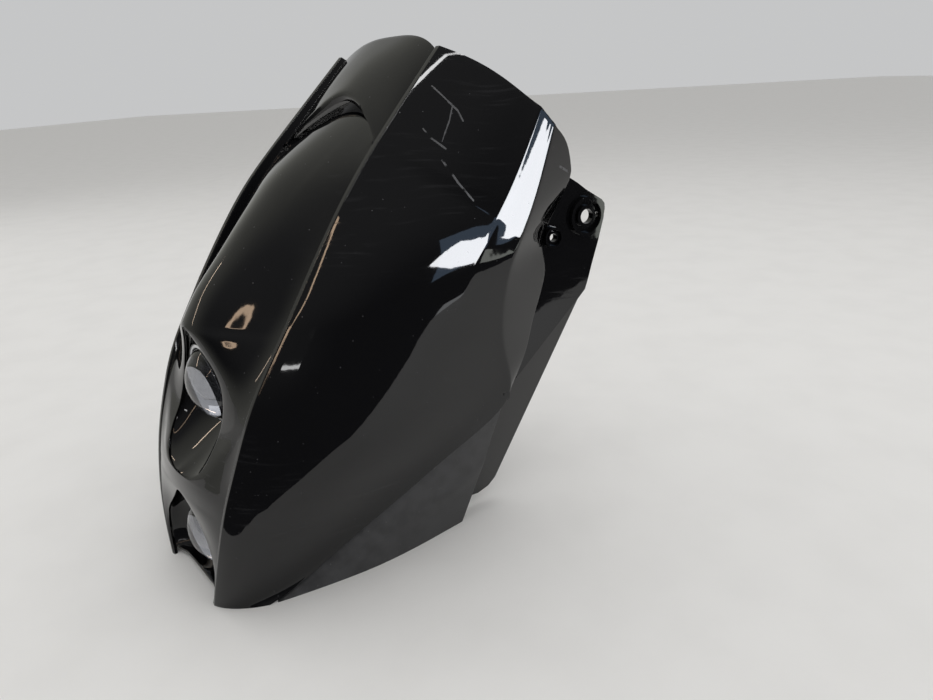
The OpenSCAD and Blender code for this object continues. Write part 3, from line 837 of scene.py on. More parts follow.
class Finish:
    """A material with its Principled shader and an object coordinate."""

    def __init__(self, name: str, colour: Point, roughness: float, **constants: object) -> None:
        """Starts the material.

        Args:
            name: the material's name.
            colour: base colour, linear.
            roughness: the shader's roughness.
            **constants: other inputs of the shader, by name with spaces as underscores.
        """
        self.material = bpy.data.materials.new(name)
        self.material.use_nodes = True
        self.make = NodeMaker(self.material.node_tree)
        self.shader = self.material.node_tree.nodes["Principled BSDF"]
        self.shader.inputs["Base Color"].default_value = (*colour, 1)
        self.shader.inputs["Roughness"].default_value = roughness
        for key, value in constants.items():
            self.shader.inputs[key.replace("_", " ")].default_value = value
        self.place = self.make.node("ShaderNodeTexCoord").outputs["Object"]

    def effect(self, group: bpy.types.NodeTree, **values: object) -> bpy.types.Node:
        """Places a shared group on the object coordinate.

        Args:
            group: the group.
            **values: its own inputs, by name.

        Returns:
            The group's node.
        """
        made = self.make.node("ShaderNodeGroup")
        made.node_tree = group
        self.make.link(self.place, made.inputs["Place"])
        for key, value in values.items():
            made.inputs[key].default_value = value
        return made

    def tint(self, mask: bpy.types.NodeSocket, base: Point, other: Point,
             strength: float = 1.0) -> bpy.types.NodeSocket:
        """Base colour that goes from one colour to another by a mask.

        Args:
            mask: where the other colour shows.
            base: a colour, or the socket of one.
            other: the other colour.
            strength: the most that it may show.

        Returns:
            The colour's socket.
        """
        blend = self.make.node("ShaderNodeMix", data_type="RGBA")
        if isinstance(base, bpy.types.NodeSocket):
            self.make.link(base, blend.inputs[6])
        else:
            blend.inputs[6].default_value = (*base, 1)
        blend.inputs[7].default_value = (*other, 1)
        self.make.link(self.make.math("MULTIPLY", mask, strength), blend.inputs[0])
        return blend.outputs[2]

    def bump(self, height: bpy.types.NodeSocket, strength: float, distance: float) -> None:
        """Feeds a height into the shader's normal.

        Args:
            height: the height's socket.
            strength: how much of it shows, from 0 to 1.
            distance: its depth in metres.
        """
        made = self.make.node("ShaderNodeBump", Strength=strength, Distance=distance)
        self.make.link(height, made.inputs["Height"])
        self.make.link(made.outputs[0], self.shader.inputs["Normal"])

    def feed(self, socket: str, source: bpy.types.NodeSocket) -> None:
        """Joins a source to one of the shader's inputs."""
        self.make.link(source, self.shader.inputs[socket])


SCRATCHES = (
    Scratch((79, 204.5, 346), (90, 209.5, 335), 0.3),
    Scratch((90, 209.5, 335), (96, 212.5, 329), 0.45),
    Scratch((96, 212.5, 329), (100, 213.5, 322), 0.3),
    Scratch((88, 187.5, 319), (93, 189.5, 313), 0.3),
    Scratch((93, 189.5, 313), (100, 196.5, 305), 0.4),
    Scratch((102, 191.5, 298), (110, 197.5, 283), 0.45),
    Scratch((110, 197.5, 283), (116, 205.5, 270), 0.35),
    Scratch((93, 210.5, 332), (95, 205.5, 323), 0.2),
    Scratch((95, 205.5, 323), (98, 195.5, 310), 0.2),
    Scratch((127, 282.5, 285), (124, 294.5, 280), 0.6),
)


def gloss_black(effects: Effects) -> bpy.types.Material:
    """High gloss black plastic with dust, wiping haze and a few long scratches.

    Args:
        effects: the shared groups.

    Returns:
        The material.
    """
    black = (0.004, 0.004, 0.0045)
    finish = Finish("gloss black", black, 0.04, IOR=1.48)
    make = finish.make
    dust = finish.effect(effects.dust, Cells=260.0, Amount=0.1).outputs["Mask"]
    haze = finish.effect(effects.haze).outputs["Mask"]
    marks = dust
    for scratch in SCRATCHES:
        line = finish.effect(effects.scratch, Start=placed(scratch.start), End=placed(scratch.end),
                             Width=scratch.width * MM).outputs["Mask"]
        marks = make.math("MAXIMUM", marks, line)
    colour = finish.tint(marks, black, (0.2, 0.2, 0.21), 0.42)
    finish.feed("Base Color", finish.tint(haze, colour, (0.03, 0.03, 0.032), 0.3))
    rough = make.math("MULTIPLY_ADD", haze, 0.16, 0.035)
    finish.feed("Roughness", make.math("MAXIMUM", rough, make.math("MULTIPLY", marks, 0.5)))
    finish.bump(make.noise(finish.place, 130.0, 1.0), 0.05, 0.0004)
    return finish.material


def plain_moulding(effects: Effects, name: str, colour: Point, roughness: float,
                   grain: float = 0.25) -> bpy.types.Material:
    """A grained moulding with dust on it.

    Args:
        effects: the shared groups.
        name: the material's name.
        colour: base colour.
        roughness: its roughness.
        grain: strength of the grain.

    Returns:
        The material.
    """
    finish = Finish(name, colour, roughness)
    grained = finish.effect(effects.grain)
    dust = finish.effect(effects.dust, Cells=300.0, Amount=0.25).outputs["Mask"]
    paler = tuple(min(1.0, c * 1.6 + 0.01) for c in colour)
    worn = finish.tint(grained.outputs["Mask"], colour, paler, 0.6)
    finish.feed("Base Color", finish.tint(dust, worn, (0.3, 0.3, 0.3), 0.5))
    finish.feed("Roughness", finish.make.math("MULTIPLY_ADD", grained.outputs["Mask"], 0.12,
                                              roughness - 0.06))
    finish.bump(grained.outputs["Height"], grain, 0.0003)
    return finish.material


def worked_metal(effects: Effects, name: str, colour: Point, roughness: float,
                 fine: float = 900.0) -> bpy.types.Material:
    """Bare metal with an uneven, finely marked surface.

    Args:
        effects: the shared groups.
        name: the material's name.
        colour: base colour.
        roughness: its roughness.
        fine: cells of the fine marks to the metre.

    Returns:
        The material.
    """
    finish = Finish(name, colour, roughness, Metallic=1.0)
    grained = finish.effect(effects.grain, Fine=fine, Coarse=60.0)
    darker = tuple(c * 0.75 for c in colour)
    finish.feed("Base Color", finish.tint(grained.outputs["Mask"], colour, darker, 0.5))
    finish.feed("Roughness", finish.make.math("MULTIPLY_ADD", grained.outputs["Mask"], 0.14,
                                              roughness))
    finish.bump(grained.outputs["Height"], 0.12, 0.0002)
    return finish.material


def clear_glass(effects: Effects, name: str, tint: Point, roughness: float) -> bpy.types.Material:
    """Glass with a trace of dust on it.

    Args:
        effects: the shared groups.
        name: the material's name.
        tint: the colour that it takes from the light.
        roughness: its roughness.

    Returns:
        The material.
    """
    finish = Finish(name, tint, roughness, Transmission_Weight=1.0, IOR=1.5)
    dust = finish.effect(effects.dust, Cells=420.0, Amount=0.08).outputs["Mask"]
    finish.feed("Roughness", finish.make.math("MULTIPLY_ADD", dust, 0.5, roughness))
    return finish.material


@dataclass
class Finishes:
    """Every finish of the cowl, by material slot."""

    by_slot: dict[str, bpy.types.Material]

    @classmethod
    def build(cls) -> "Finishes":
        """Makes all the materials.

        Returns:
            The finishes by slot.
        """
        effects = build_effects()
        return cls({
            "gloss_black": gloss_black(effects),
            "satin_black": plain_moulding(effects, "satin black", (0.024, 0.024, 0.025), 0.5),
            "lamp_plastic": plain_moulding(effects, "lamp plastic", (0.03, 0.03, 0.033), 0.55),
            "lens_glass": clear_glass(effects, "lens glass", (0.34, 0.35, 0.38), 0.0),
            "lamp_metal": worked_metal(effects, "lamp metal", (0.55, 0.56, 0.58), 0.22),
            "lamp_casting": worked_metal(effects, "lamp casting", (0.2, 0.2, 0.21), 0.42, 500.0),
            "shutter_steel": worked_metal(effects, "shutter steel", (0.4, 0.4, 0.42), 0.3),
            "bulb_glass": clear_glass(effects, "bulb glass", (0.9, 0.9, 0.86), 0.02),
            "cap_rubber": plain_moulding(effects, "cap rubber", (0.015, 0.015, 0.015), 0.7, 0.4),
            "screw_steel": worked_metal(effects, "screw steel", (0.5, 0.5, 0.49), 0.25),
        })

    def of(self, slot: str) -> bpy.types.Material:
        """The finish of a slot."""
        return self.by_slot[slot]


@dataclass
class Shell:
    """The front moulding: strip, ridges, side panels and flanges, as one sheet with a wall."""

    form: CowlForm
    rows_each: int = 4
    strip_columns: int = 22
    ridge_columns: int = 34
    side_columns: int = 36
    facet_columns: int = 12
    edge_columns: int = 14
    strip_end: float = 0.94
    ridge_span: tuple[float, float] = (0.95, 0.03)
    side_span: tuple[float, float] = (0.045, 0.97)
    edge_start: float = 0.965
    spread: float = 1.3
    vent_share: float = 0.25
    tongue_length: float = 18.0
    tongue_rows: int = 4
    fold_drop: float = 5.5
    fold_lean: float = 0.35
    fold_rows: int = 3
    calm_width: float = 30.0
    calm_times: int = 3
    rim: float = 0.7

    def rows(self) -> list[float]:
        """The rows of the fine grid.

        Returns:
            The rows, with none between the hood's end and the brow.
        """
        steps = self.rows_each
        hood = [k / steps for k in range(int(self.form.hood_row) * steps + 1)]
        brow = [self.form.brow_row + k / steps
                for k in range(int(self.form.top_row - self.form.brow_row) * steps + 1)]
        return hood + brow

    def ridge_polygon(self, row: float) -> list[np.ndarray]:
        """Corners of the ridge's section, from the strip to the side panel.

        Args:
            row: the row.

        Returns:
            The corners.
        """
        form = self.form
        inner, foot = form.strip(row, self.ridge_span[0]), form.foot(row)
        crest = form.ridge(row)
        _, width, _, _ = form.shape_at(row)
        top = crest - np.array((width, 0, 0))
        outer = form.side(row, self.ridge_span[1])
        return [inner, mix(inner, foot, 0.6), foot, mix(foot, top, 0.3), mix(foot, top, 0.75), top,
                mix(top, crest, 0.25), mix(top, crest, 0.75), crest, mix(crest, outer, 0.3), outer]

    def edge_polygon(self, row: float) -> list[np.ndarray]:
        """Corners of the turn from the side panel to the flange.

        Args:
            row: the row.

        Returns:
            The corners.
        """
        form = self.form
        inner, back = form.side(row, self.edge_start), form.back(row)
        flange = form.flange(row)
        return [inner, mix(inner, back, 0.6), back, mix(back, flange, 0.12),
                mix(back, flange, 0.4), mix(back, flange, 0.8), flange,
                flange + 0.05 * (flange - back)]

    def section(self, row: float) -> list[np.ndarray]:
        """One row of the grid, from its start to the flange's edge.

        Args:
            row: the row.

        Returns:
            Its points.
        """
        form = self.form
        points = [form.strip(row, self.strip_end * i / self.strip_columns)
                  for i in range(self.strip_columns + 1)]
        ridge, edge = self.ridge_polygon(row), self.edge_polygon(row)
        count = self.ridge_columns
        points += [rounded(ridge, i / count) for i in range(count + 1)]
        crease, (first, end) = form.crease_share(row), self.side_span
        last = end if row > form.corner_row else 1.0
        points += [form.side(row, mix(first, crease, 1 - (1 - i / self.side_columns) ** self.spread))
                   for i in range(self.side_columns)]
        points += [form.side(row, mix(crease, last, (i / self.facet_columns) ** self.spread))
                   for i in range(self.facet_columns + 1)]
        count = self.edge_columns
        if row >= form.corner_row:
            points += [rounded(edge, i / count) for i in range(count + 1)]
        else:
            points += [form.back(row)] * (count + 1)
        return points

    def add_tongue(self, mesh: bmesh.types.BMesh, before: list[np.ndarray],
                   end: list[np.ndarray]) -> None:
        """Runs the hood on under the brow.

        Args:
            mesh: the shell so far.
            before: the row two steps before the hood's end.
            end: the row at the hood's end.
        """
        last = self.strip_columns - 2

        def place(column: int, row: int) -> np.ndarray:
            """A point of the tongue.

            Args:
                column: the column of the strip.
                row: 0 at the hood's end.

            Returns:
                The point.
            """
            along = unit(end[column] - before[column])
            narrowing = 1 - 0.9 * (column / last) ** 3
            return end[column] + self.tongue_length * narrowing * row / self.tongue_rows * along

        join_grid(mesh, mapped_grid(last + 1, self.tongue_rows + 1, place))

    def add_fold(self, mesh: bmesh.types.BMesh, edge: list[np.ndarray]) -> None:
        """Turns the brow's front edge down.

        Args:
            mesh: the shell so far.
            edge: the brow's first row.
        """
        last = self.strip_columns - 2

        def place(column: int, row: int) -> np.ndarray:
            """A point of the fold."""
            drop = self.fold_drop * (1 - (column / last) ** 3) * row / self.fold_rows
            return edge[column] + np.array((0, self.fold_lean * drop, -drop))

        join_grid(mesh, mapped_grid(last + 1, self.fold_rows + 1, place))

    def build(self, finish: bpy.types.Material) -> bpy.types.Object:
        """Builds the whole shell.

        Args:
            finish: its material.

        Returns:
            The shell.
        """
        rows = self.rows()
        grid = [self.section(row) for row in rows]
        columns = len(grid[0])
        flange_start = columns - 1 - self.edge_columns
        vent_end = self.strip_columns + 1 + int(self.ridge_columns * self.vent_share)
        vent_row = rows.index(self.form.hood_row)

        def kept(column: int, row: int) -> bool:
            """Whether a cell is part of the moulding.

            Args:
                column: the cell's column.
                row: the cell's row.

            Returns:
                False in the brow vent, and behind the lower side panels' edge.
            """
            if row == vent_row and column < vent_end:
                return False
            return column < flange_start or rows[row] >= self.form.corner_row

        mesh = mapped_grid(columns, len(rows), lambda i, j: grid[j][i], kept)
        loose = [v for v in mesh.verts if not v.link_faces]
        bmesh.ops.delete(mesh, geom=loose, context="VERTS")
        self.add_tongue(mesh, grid[vent_row - 2], grid[vent_row])
        self.add_fold(mesh, grid[vent_row + 1])
        bmesh.ops.remove_doubles(mesh, verts=mesh.verts, dist=5e-5)
        bmesh.ops.dissolve_degenerate(mesh, dist=2e-5, edges=mesh.edges)
        mirrored_half(mesh)
        calm = [v for v in mesh.verts
                if not v.is_boundary and abs(v.co.x) < self.calm_width * MM]
        relaxed(mesh, calm, self.calm_times)
        face_towards(mesh, Vector((0, -1.5, 0.6)))
        shell = as_piece(mesh, "cowl_shell", finish)
        thickened(shell, self.form.wall, self.rim)
        return shell


@dataclass(frozen=True)
class Lamp:
    """One projector lamp: the middle of its lens rim, in drawing millimetres, and its tilt."""

    opening: Opening
    rim: Point
    lens_radius: float = 30.0
    ring_radius: float = 32.0
    dome: float = 17.0
    edge: float = 4.0
    tilt: float = 5.5
    fit: float = 0.3
    seat: float = 1.8
    chamfer: float = 0.2
    dome_steps: int = 24
    ring_lip: float = 1.4
    ring_depth: float = 8.0
    ring_rounds: tuple[float, float] = (0.5, 0.6)
    round_steps: int = 96

    def at(self, across: float, up: float, out: float) -> np.ndarray:
        """A point of the lamp, in drawing millimetres.

        Args:
            across: how far it lies to the left of the lamp's axis.
            up: how far it lies above the axis.
            out: how far it lies in front of the lens rim.

        Returns:
            The point.
        """
        c, s = math.cos(math.radians(self.tilt)), math.sin(math.radians(self.tilt))
        return np.array((self.rim[0] + across, self.rim[1] - up * s - out * c,
                         self.rim[2] + up * c - out * s))

    def matrix(self) -> Matrix:
        """The turn and place of the lamp's own frame, in metres."""
        turn = Matrix.Rotation(math.radians(90 + self.tilt), 4, "X")
        return Matrix.Translation(placed(self.rim)) @ turn

    def turned(self, outline: Sequence[tuple[float, float]]) -> bmesh.types.BMesh:
        """Revolves an outline of radius and height about the lamp's axis.

        Args:
            outline: radius and height pairs in millimetres.

        Returns:
            The new mesh, in place.
        """
        mesh = bmesh.new()
        verts = [mesh.verts.new((radius * MM, 0, height * MM)) for radius, height in outline]
        edges = [mesh.edges.new(pair) for pair in zip(verts, verts[1:])]
        bmesh.ops.spin(mesh, geom=verts + edges, cent=(0, 0, 0), axis=(0, 0, 1),
                       angle=math.tau, steps=self.round_steps, use_merge=True)
        bmesh.ops.remove_doubles(mesh, verts=mesh.verts, dist=1e-6)
        bmesh.ops.recalc_face_normals(mesh, faces=mesh.faces)
        bmesh.ops.transform(mesh, matrix=self.matrix(), verts=mesh.verts)
        return mesh

    def lens(self, finish: bpy.types.Material) -> bpy.types.Object:
        """Builds the glass, a plano-convex dome on a plain edge.

        Args:
            finish: its material.

        Returns:
            The piece.
        """
        rim, cut, edge = self.lens_radius, self.chamfer, self.edge
        radius = rim - self.seat
        sphere = (radius ** 2 + self.dome ** 2) / (2 * self.dome)
        last = math.asin(radius / sphere)
        angles = [last * i / self.dome_steps for i in range(self.dome_steps + 1)]
        dome = [(sphere * math.sin(angle), self.dome - sphere + sphere * math.cos(angle))
                for angle in angles]
        outline = dome + [(rim - cut, 0), (rim, -cut), (rim, cut - edge), (rim - cut, -edge),
                          (0, -edge)]
        piece = as_piece(self.turned(outline), f"{self.opening.value}_glass", finish)
        stands_for(piece, f"{self.opening.value}_lens")
        return piece

    def ring(self, finish: bpy.types.Material) -> bpy.types.Object:
        """Builds the thin ring that holds the lens.

        Args:
            finish: its material.

        Returns:
            The piece.
        """
        lip, back, (near, far) = self.ring_lip, -self.ring_depth, self.ring_rounds
        inner, outer = self.lens_radius - lip, self.ring_radius
        bore = self.lens_radius + self.fit / 2
        outline = [(inner, 0), (inner, lip - near), (inner + near, lip), (outer - far, lip),
                   (outer, lip - far), (outer, back), (bore, back), (bore, 0), (inner, 0)]
        piece = as_piece(self.turned(outline), f"{self.opening.value}_ring", finish)
        stands_for(piece, f"{self.opening.value}_lens_ring")
        return piece


@dataclass
class Bezel:
    """The funnel between a lamp opening's lip and the ring round its lens."""

    form: CowlForm
    lamp: Lamp
    wall: float = 1.8
    around: int = 112
    deep: int = 18
    rim: float = 0.4
    push_share: float = 0.6
    foot_row: float = 3.0
    upper_span: tuple[float, float] = (8.03, 18.97)
    lower_span: tuple[float, float] = (0.45, 5.97)
    chin_height: float = 9.0
    chin_inset: float = 4.5
    chin_fall: float = 4.5
    chin_width: float = 38.0
    chin_end: int = 30
    chin_step: int = 3
    swell: float = 2.5
    seat_depth: float = 2.0
    ground_gap: float = 0.4
    calm_times: int = 8

    def lip_point(self, row: float) -> np.ndarray:
        """A point of the cowl's lip, pushed into its wall.

        Args:
            row: the row of the cowl.

        Returns:
            The point.
        """
        form = self.form
        push = self.push_share * form.wall
        if row < self.foot_row:
            return form.strip(row, 0) - push * form.ridge_out(row)
        a, b = form.strip(row, 0), form.strip(row, 0.2)
        up = form.strip(row + 0.05, 0.1) - form.strip(row - 0.05, 0.1)
        return a - push * unit(np.cross(b - a, up))

    def along_lip(self, span: tuple[float, float], steps: int) -> list[np.ndarray]:
        """Points of the lip between two rows."""
        return [self.lip_point(mix(*span, i / steps)) for i in range(steps + 1)]

    def half_lip(self) -> list[np.ndarray]:
        """The lip's left half from its bottom to its top.

        Returns:
            Its points, in even steps of length.
        """
        if self.lamp.opening is Opening.UPPER:
            rough = self.along_lip(self.upper_span, 80)
        else:
            depth = self.chin_inset + self.form.wall + self.lamp.fit
            chin = [np.array((x, depth, self.chin_height
                              - self.chin_fall * (x / self.chin_width) ** 2))
                    for x in range(0, self.chin_end, self.chin_step)]
            rough = chin + self.along_lip(self.lower_span, 60)
        middle = np.array((0, 1, 1))
        rough[0] = rough[0] * middle
        rough[-1] = rough[-1] * middle
        steps = [0.0]
        for a, b in zip(rough, rough[1:]):
            steps.append(steps[-1] + float(np.linalg.norm(b - a)))
        wanted = np.linspace(0, steps[-1], self.around // 2 + 1)
        return [np.array([np.interp(w, steps, [p[k] for p in rough]) for k in range(3)])
                for w in wanted]

    def build(self, finish: bpy.types.Material) -> bpy.types.Object:
        """Builds the funnel.

        Args:
            finish: its material.

        Returns:
            The piece.
        """
        half = self.half_lip()
        radius = self.lamp.ring_radius + self.lamp.fit
        count = len(half)

        def place(column: int, row: int) -> np.ndarray:
            """A point of the funnel's left half.

            Args:
                column: 0 at the bottom of the opening, and the last at its top.
                row: 0 at the lip, and the last at the lens ring.

            Returns:
                The point.
            """
            angle = math.radians(-90 + 180 * column / (count - 1))
            seat = self.lamp.at(radius * math.cos(angle), radius * math.sin(angle),
                                -self.seat_depth)
            t = row / self.deep
            lip = half[column]
            point = mix(lip, seat, t)
            centre = np.array(self.lamp.rim)
            outward = unit((point - centre) * np.array((1, 0, 1)))
            point = point + self.swell * math.sin(math.pi * t) * outward
            point[2] = max(point[2], self.ground_gap)
            if column in (0, count - 1):
                point[0] = 0.0
            return point

        mesh = mapped_grid(count, self.deep + 1, place)
        mirrored_half(mesh)
        bmesh.ops.remove_doubles(mesh, verts=mesh.verts, dist=1e-5)
        inside = [v for v in mesh.verts if not v.is_boundary]
        relaxed(mesh, inside, self.calm_times)
        face_towards(mesh, Vector(self.lamp.matrix() @ Vector((0, 0, 0.05))))
        name = self.lamp.opening.value
        piece = as_piece(mesh, f"{name}_funnel", finish)
        thickened(piece, self.wall, self.rim)
        stands_for(piece, f"{name}_bezel")
        return piece


@dataclass
class LowerPanel:
    """A satin side panel below the gloss moulding."""

    form: CowlForm
    floor_line: Line = field(default_factory=lambda: Line([
        (72, 30, 0), (79.3, 56, 0), (87.2, 91, 0), (91.6, 121, 0), (93, 151, 0), (92.8, 174, 0),
        (92.4, 197, 0)]))
    tuck: float = 0.94
    hem: float = 0.995
    fit: float = 0.3
    rim: float = 0.6
    swell: float = 1.2
    crease_rise: float = 0.9
    crease_share: float = 0.52
    crease_width: float = 0.09
    crease_row: float = 6.0
    fade_rows: float = 5.0
    span: tuple[float, float] = (0.5, 12.95)
    columns: int = 30
    hem_columns: int = 4
    rows: int = 70

    def place(self, column: int, row: int) -> np.ndarray:
        """A point of the panel.

        Args:
            column: 0 behind the gloss moulding, and the last on the floor.
            row: 0 at the front, and the last at the rear.

        Returns:
            The point.
        """
        form = self.form
        place = mix(*self.span, row / self.rows)
        push = form.wall + self.fit
        edge = form.side(place, self.hem) - push * form.side_out(place, self.hem)
        if column < self.hem_columns:
            share = mix(self.tuck, self.hem, column / self.hem_columns)
            return form.side(place, share) - push * form.side_out(place, share)
        floor = self.floor_line.at(self.floor_line.last * place / form.corner_row)
        t = (column - self.hem_columns) / (self.columns - self.hem_columns)
        swell = self.swell * math.sin(math.pi * t) * min(1.0, place / self.fade_rows)
        crease = self.crease_rise * math.exp(-((t - self.crease_share) / self.crease_width) ** 2)
        crease *= max(0.0, min(1.0, (place - self.crease_row) / self.fade_rows))
        point = mix(edge, floor, t) + np.array((swell + crease, 0, 0))
        point[2] = max(point[2], 0.0)
        return point

    def build(self, side: int, finish: bpy.types.Material) -> bpy.types.Object:
        """Builds the panel of one side.

        Args:
            side: 1 for the left, -1 for the right.
            finish: its material.

        Returns:
            The piece.
        """
        mesh = mapped_grid(self.columns + 1, self.rows + 1, self.place)
        if side < 0:
            bmesh.ops.scale(mesh, vec=(-1, 1, 1), verts=mesh.verts)
        face_towards(mesh, Vector((side * 1.5, 0, 0.2)))
        name = "left" if side > 0 else "right"
        piece = as_piece(mesh, f"{name}_satin_panel", finish)
        thickened(piece, self.form.wall, self.rim)
        stands_for(piece, f"{name}_lower_panel")
        return piece


@dataclass
class EasedNode:
    """A copy of a construction node with its flat faces joined and its edges rounded."""

    node: str
    slot: str
    edge: float = 0.5
    sharp_angle: float = 35.0
    flat_angle: float = 1.0

    def build(self, frame: dict, finish: bpy.types.Material) -> bpy.types.Object:
        """Builds the copy.

        Args:
            frame: the loaded frame.
            finish: its material.

        Returns:
            The piece.
        """
        mesh = bmesh.new()
        mesh.from_mesh(frame["nodes"][self.node].data)
        bmesh.ops.transform(mesh, matrix=frame["nodes"][self.node].matrix_world, verts=mesh.verts)
        bmesh.ops.remove_doubles(mesh, verts=mesh.verts, dist=1e-6)
        bmesh.ops.dissolve_limit(mesh, angle_limit=math.radians(self.flat_angle),
                                 use_dissolve_boundaries=False, verts=mesh.verts,
                                 edges=mesh.edges)
        piece = as_piece(mesh, f"{self.node}_eased", finish)
        piece.data.shade_flat()
        round_rims(piece, self.edge, self.sharp_angle)
        stands_for(piece, self.node)
        return piece


class Reach(Enum):
    """What a lamp does: light the room softly, or show as a bright shape in gloss."""

    ROOM = "room"
    GLOSS = "gloss"


@dataclass(frozen=True)
class SoftBox:
    """An area lamp: place and target in metres, size, radiance and colour."""

    name: str
    place: Point
    target: Point
    width: float
    height: float
    radiance: float
    colour: Point = (1.0, 1.0, 1.0)
    reach: Reach = Reach.GLOSS
    roll: float = 0.0

    def build(self) -> None:
        """Adds the lamp."""
        data = bpy.data.lights.new(self.name, "AREA")
        data.shape = "RECTANGLE"
        data.size, data.size_y = self.width, self.height
        data.energy = self.radiance * math.pi * self.width * self.height
        data.color = self.colour
        lamp = bpy.data.objects.new(self.name, data)
        bpy.context.scene.collection.objects.link(lamp)
        away = Vector(self.target) - Vector(self.place)
        turn = away.to_track_quat("-Z", "Y").to_matrix() @ Matrix.Rotation(self.roll, 3, "Z")
        lamp.matrix_world = Matrix.Translation(self.place) @ turn.to_4x4()
        lamp.visible_glossy = self.reach is Reach.GLOSS
        lamp.visible_diffuse = self.reach is Reach.ROOM
        lamp.visible_camera = False


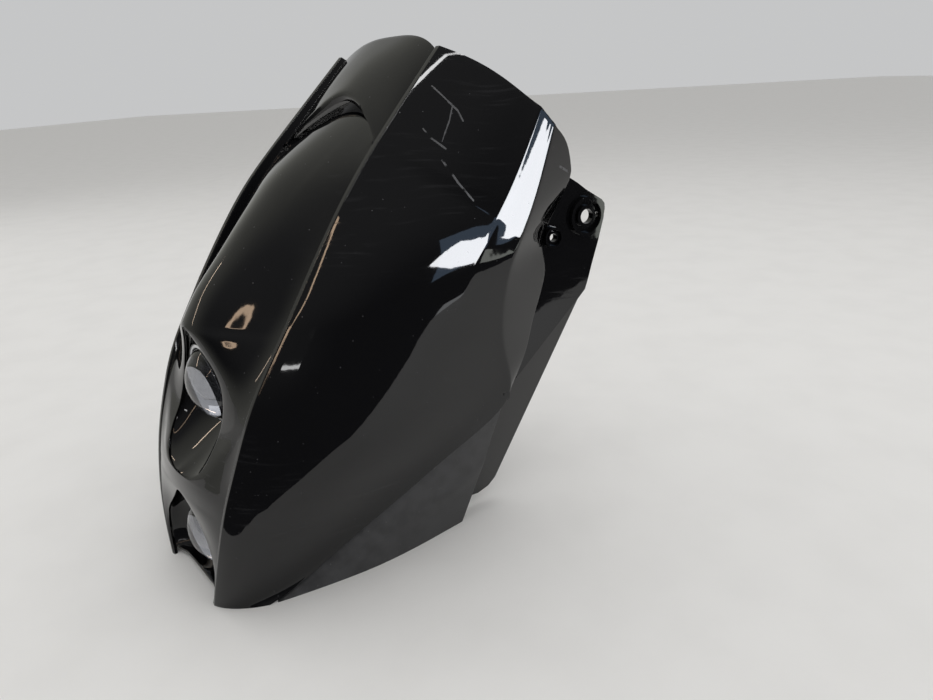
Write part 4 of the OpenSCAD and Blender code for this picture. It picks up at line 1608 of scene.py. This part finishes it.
@dataclass(frozen=True)
class Studio:
    """Floor, background, lamps and camera."""

    camera_place: Point = (0.4866, -0.2823, 0.3459)
    camera_right: Point = (0.6530, 0.7557, -0.0519)
    camera_up: Point = (-0.2374, 0.2692, 0.9334)
    camera_back: Point = (0.7193, -0.5972, 0.3552)
    lens_mm: float = 27.01
    sensor_mm: float = 36.0
    floor_middle: Point = (-6.28, 6.086, 0.0)
    floor_size: float = 9.0
    floor_turn: float = 46.5
    backdrop: Point = (0.56, 0.565, 0.57)
    room_low: Point = (0.05, 0.05, 0.055)
    room_high: Point = (0.2, 0.2, 0.205)
    room_across: Point = (0.44, 0.44, 0.4)
    room_light: Point = (0.62, 0.62, 0.62)
    boxes: tuple[SoftBox, ...] = (
        SoftBox("overhead", (0.4, 0.4, 2.2), (0.2, 0.2, 0.1), 2.4, 2.4, 1.1, reach=Reach.ROOM),
        SoftBox("far side", (-1.9, -0.9, 1.3), (0, 0, 0.2), 1.6, 1.6, 0.9, reach=Reach.ROOM),
        SoftBox("tall window", (1.0, 0.333, 0.324), (0.0, 0.333, 0.324), 0.347, 0.2, 22.0,
                (0.96, 0.97, 1.0), roll=-0.846),
        SoftBox("evening sky", (1.02, 0.38, 0.41), (0.0, 0.38, 0.41), 0.36, 0.42, 1.3,
                (0.5, 0.7, 1.0)),
        SoftBox("low window", (1.0, 0.607, 0.09), (0.0, 0.607, 0.09), 0.1, 0.14, 2.6,
                (0.95, 1.0, 0.92)),
        SoftBox("low pane", (1.0, 0.47, -0.2), (0.0, 0.47, -0.2), 0.16, 0.1, 2.2,
                (0.95, 0.97, 1.0)),
        SoftBox("tube in front", (0.62, -1.0, 0.615), (0.62, 0.0, 0.615), 0.45, 0.02, 11.0),
        SoftBox("ceiling tube", (0.3, -0.4, 2.0), (0.3, -0.4, 0.0), 0.06, 1.4, 16.0),
        SoftBox("warm ceiling tube", (0.6, -3.6, 2.0), (0.6, -3.6, 0.0), 0.06, 4.6, 9.0,
                (1.0, 0.72, 0.5)),
        SoftBox("far warm tube", (-2.8, -2.6, 2.0), (-2.8, -2.6, 0.0), 0.12, 2.4, 12.0,
                (1.0, 0.78, 0.6)),
    )

    def floor(self) -> None:
        """A wide pale table top that ends just in front of the picture."""
        mesh = bmesh.new()
        bmesh.ops.create_grid(mesh, x_segments=1, y_segments=1, size=self.floor_size)
        turn = Matrix.Rotation(math.radians(self.floor_turn), 4, "Z")
        bmesh.ops.transform(mesh, matrix=Matrix.Translation(self.floor_middle) @ turn,
                            verts=mesh.verts)
        finish = Finish("pale floor", (0.78, 0.77, 0.75), 0.7)
        spots = finish.make.ramp(finish.make.noise(finish.place, 14.0, 4.0), 0.3, 0.8)
        finish.feed("Base Color", finish.tint(spots, (0.8, 0.79, 0.77), (0.77, 0.76, 0.74)))
        as_piece(mesh, "floor", finish.material)

    def world(self) -> None:
        """A pale backdrop, and the room that gloss sees: pale behind the object, dim in front."""
        world = bpy.data.worlds.new("studio")
        world.use_nodes = True
        bpy.context.scene.world = world
        make = NodeMaker(world.node_tree)
        shader = world.node_tree.nodes["Background"]
        place = make.node("ShaderNodeTexCoord").outputs["Generated"]
        split = make.node("ShaderNodeSeparateXYZ")
        make.link(place, split.inputs[0])

        def blend(mask: bpy.types.NodeSocket, first: object, second: object,
                  ) -> bpy.types.NodeSocket:
            """A colour between two others.

            Args:
                mask: 0 for the first and 1 for the second.
                first: a colour or a socket.
                second: a colour or a socket.

            Returns:
                The colour's socket.
            """
            made = make.node("ShaderNodeMix", data_type="RGBA")
            make.link(mask, made.inputs[0])
            for socket, value in ((made.inputs[6], first), (made.inputs[7], second)):
                if isinstance(value, bpy.types.NodeSocket):
                    make.link(value, socket)
                else:
                    socket.default_value = (*value, 1)
            return made.outputs[2]

        behind = make.math("SUBTRACT", make.math("MULTIPLY", split.outputs["Y"], 0.95),
                           make.math("MULTIPLY", split.outputs["X"], 0.3))
        dim = blend(make.ramp(split.outputs["Z"], 0.1, 0.8), self.room_low, self.room_high)
        across = blend(make.ramp(make.math("MULTIPLY", split.outputs["X"], -1.0), 0.05, 0.6), dim,
                       self.room_across)
        room = blend(make.ramp(behind, 0.3, 0.75), across, self.backdrop)
        path = make.node("ShaderNodeLightPath").outputs
        pale = make.math("MAXIMUM", path["Is Camera Ray"], path["Is Transmission Ray"])
        lit = blend(path["Is Diffuse Ray"], room, self.room_light)
        make.link(blend(pale, lit, self.backdrop), shader.inputs["Color"])

    def camera(self) -> None:
        """The camera at the photograph's viewing angle."""
        data = bpy.data.cameras.new("camera")
        data.lens = self.lens_mm
        data.sensor_width = self.sensor_mm
        camera = bpy.data.objects.new("camera", data)
        bpy.context.scene.collection.objects.link(camera)
        turn = Matrix((self.camera_right, self.camera_up, self.camera_back)).transposed()
        camera.matrix_world = Matrix.Translation(self.camera_place) @ turn.to_4x4()
        bpy.context.scene.camera = camera

    def build(self) -> None:
        """Adds everything round the object."""
        bpy.context.scene.view_settings.view_transform = "Standard"
        self.camera()
        self.floor()
        self.world()
        for box in self.boxes:
            box.build()


def record_slots(frame: dict) -> dict[str, str]:
    """The material slot of each construction node."""
    return {row["node"]: row["material_slot"] for row in frame["record"]["subparts"]}


def dress_nodes(frame: dict, finishes: Finishes) -> None:
    """Gives every construction node the finish of its slot.

    Args:
        frame: the loaded frame.
        finishes: the finishes by slot.
    """
    for node, slot in record_slots(frame).items():
        data = frame["nodes"][node].data
        data.materials.clear()
        data.materials.append(finishes.of(slot))


def main() -> None:
    """Builds the studio and every piece."""
    logging.basicConfig(level=logging.INFO, format="%(message)s")
    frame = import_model()
    Studio().build()
    finishes = Finishes.build()
    dress_nodes(frame, finishes)
    form = CowlForm()
    gloss = finishes.of("gloss_black")
    stands_for(Shell(form).build(gloss), "front_cowl")
    for lamp in (Lamp(Opening.UPPER, (0, 43, 149.5)), Lamp(Opening.LOWER, (0, 22, 33.2))):
        Bezel(form, lamp).build(gloss)
        lamp.lens(finishes.of("lens_glass"))
        lamp.ring(finishes.of("lamp_metal"))
    for side in (1, -1):
        LowerPanel(form).build(side, finishes.of("satin_black"))
    for node in ("left_inner_panel", "right_inner_panel"):
        EasedNode(node, "gloss_black").build(frame, gloss)


if __name__ == "__main__":
    main()
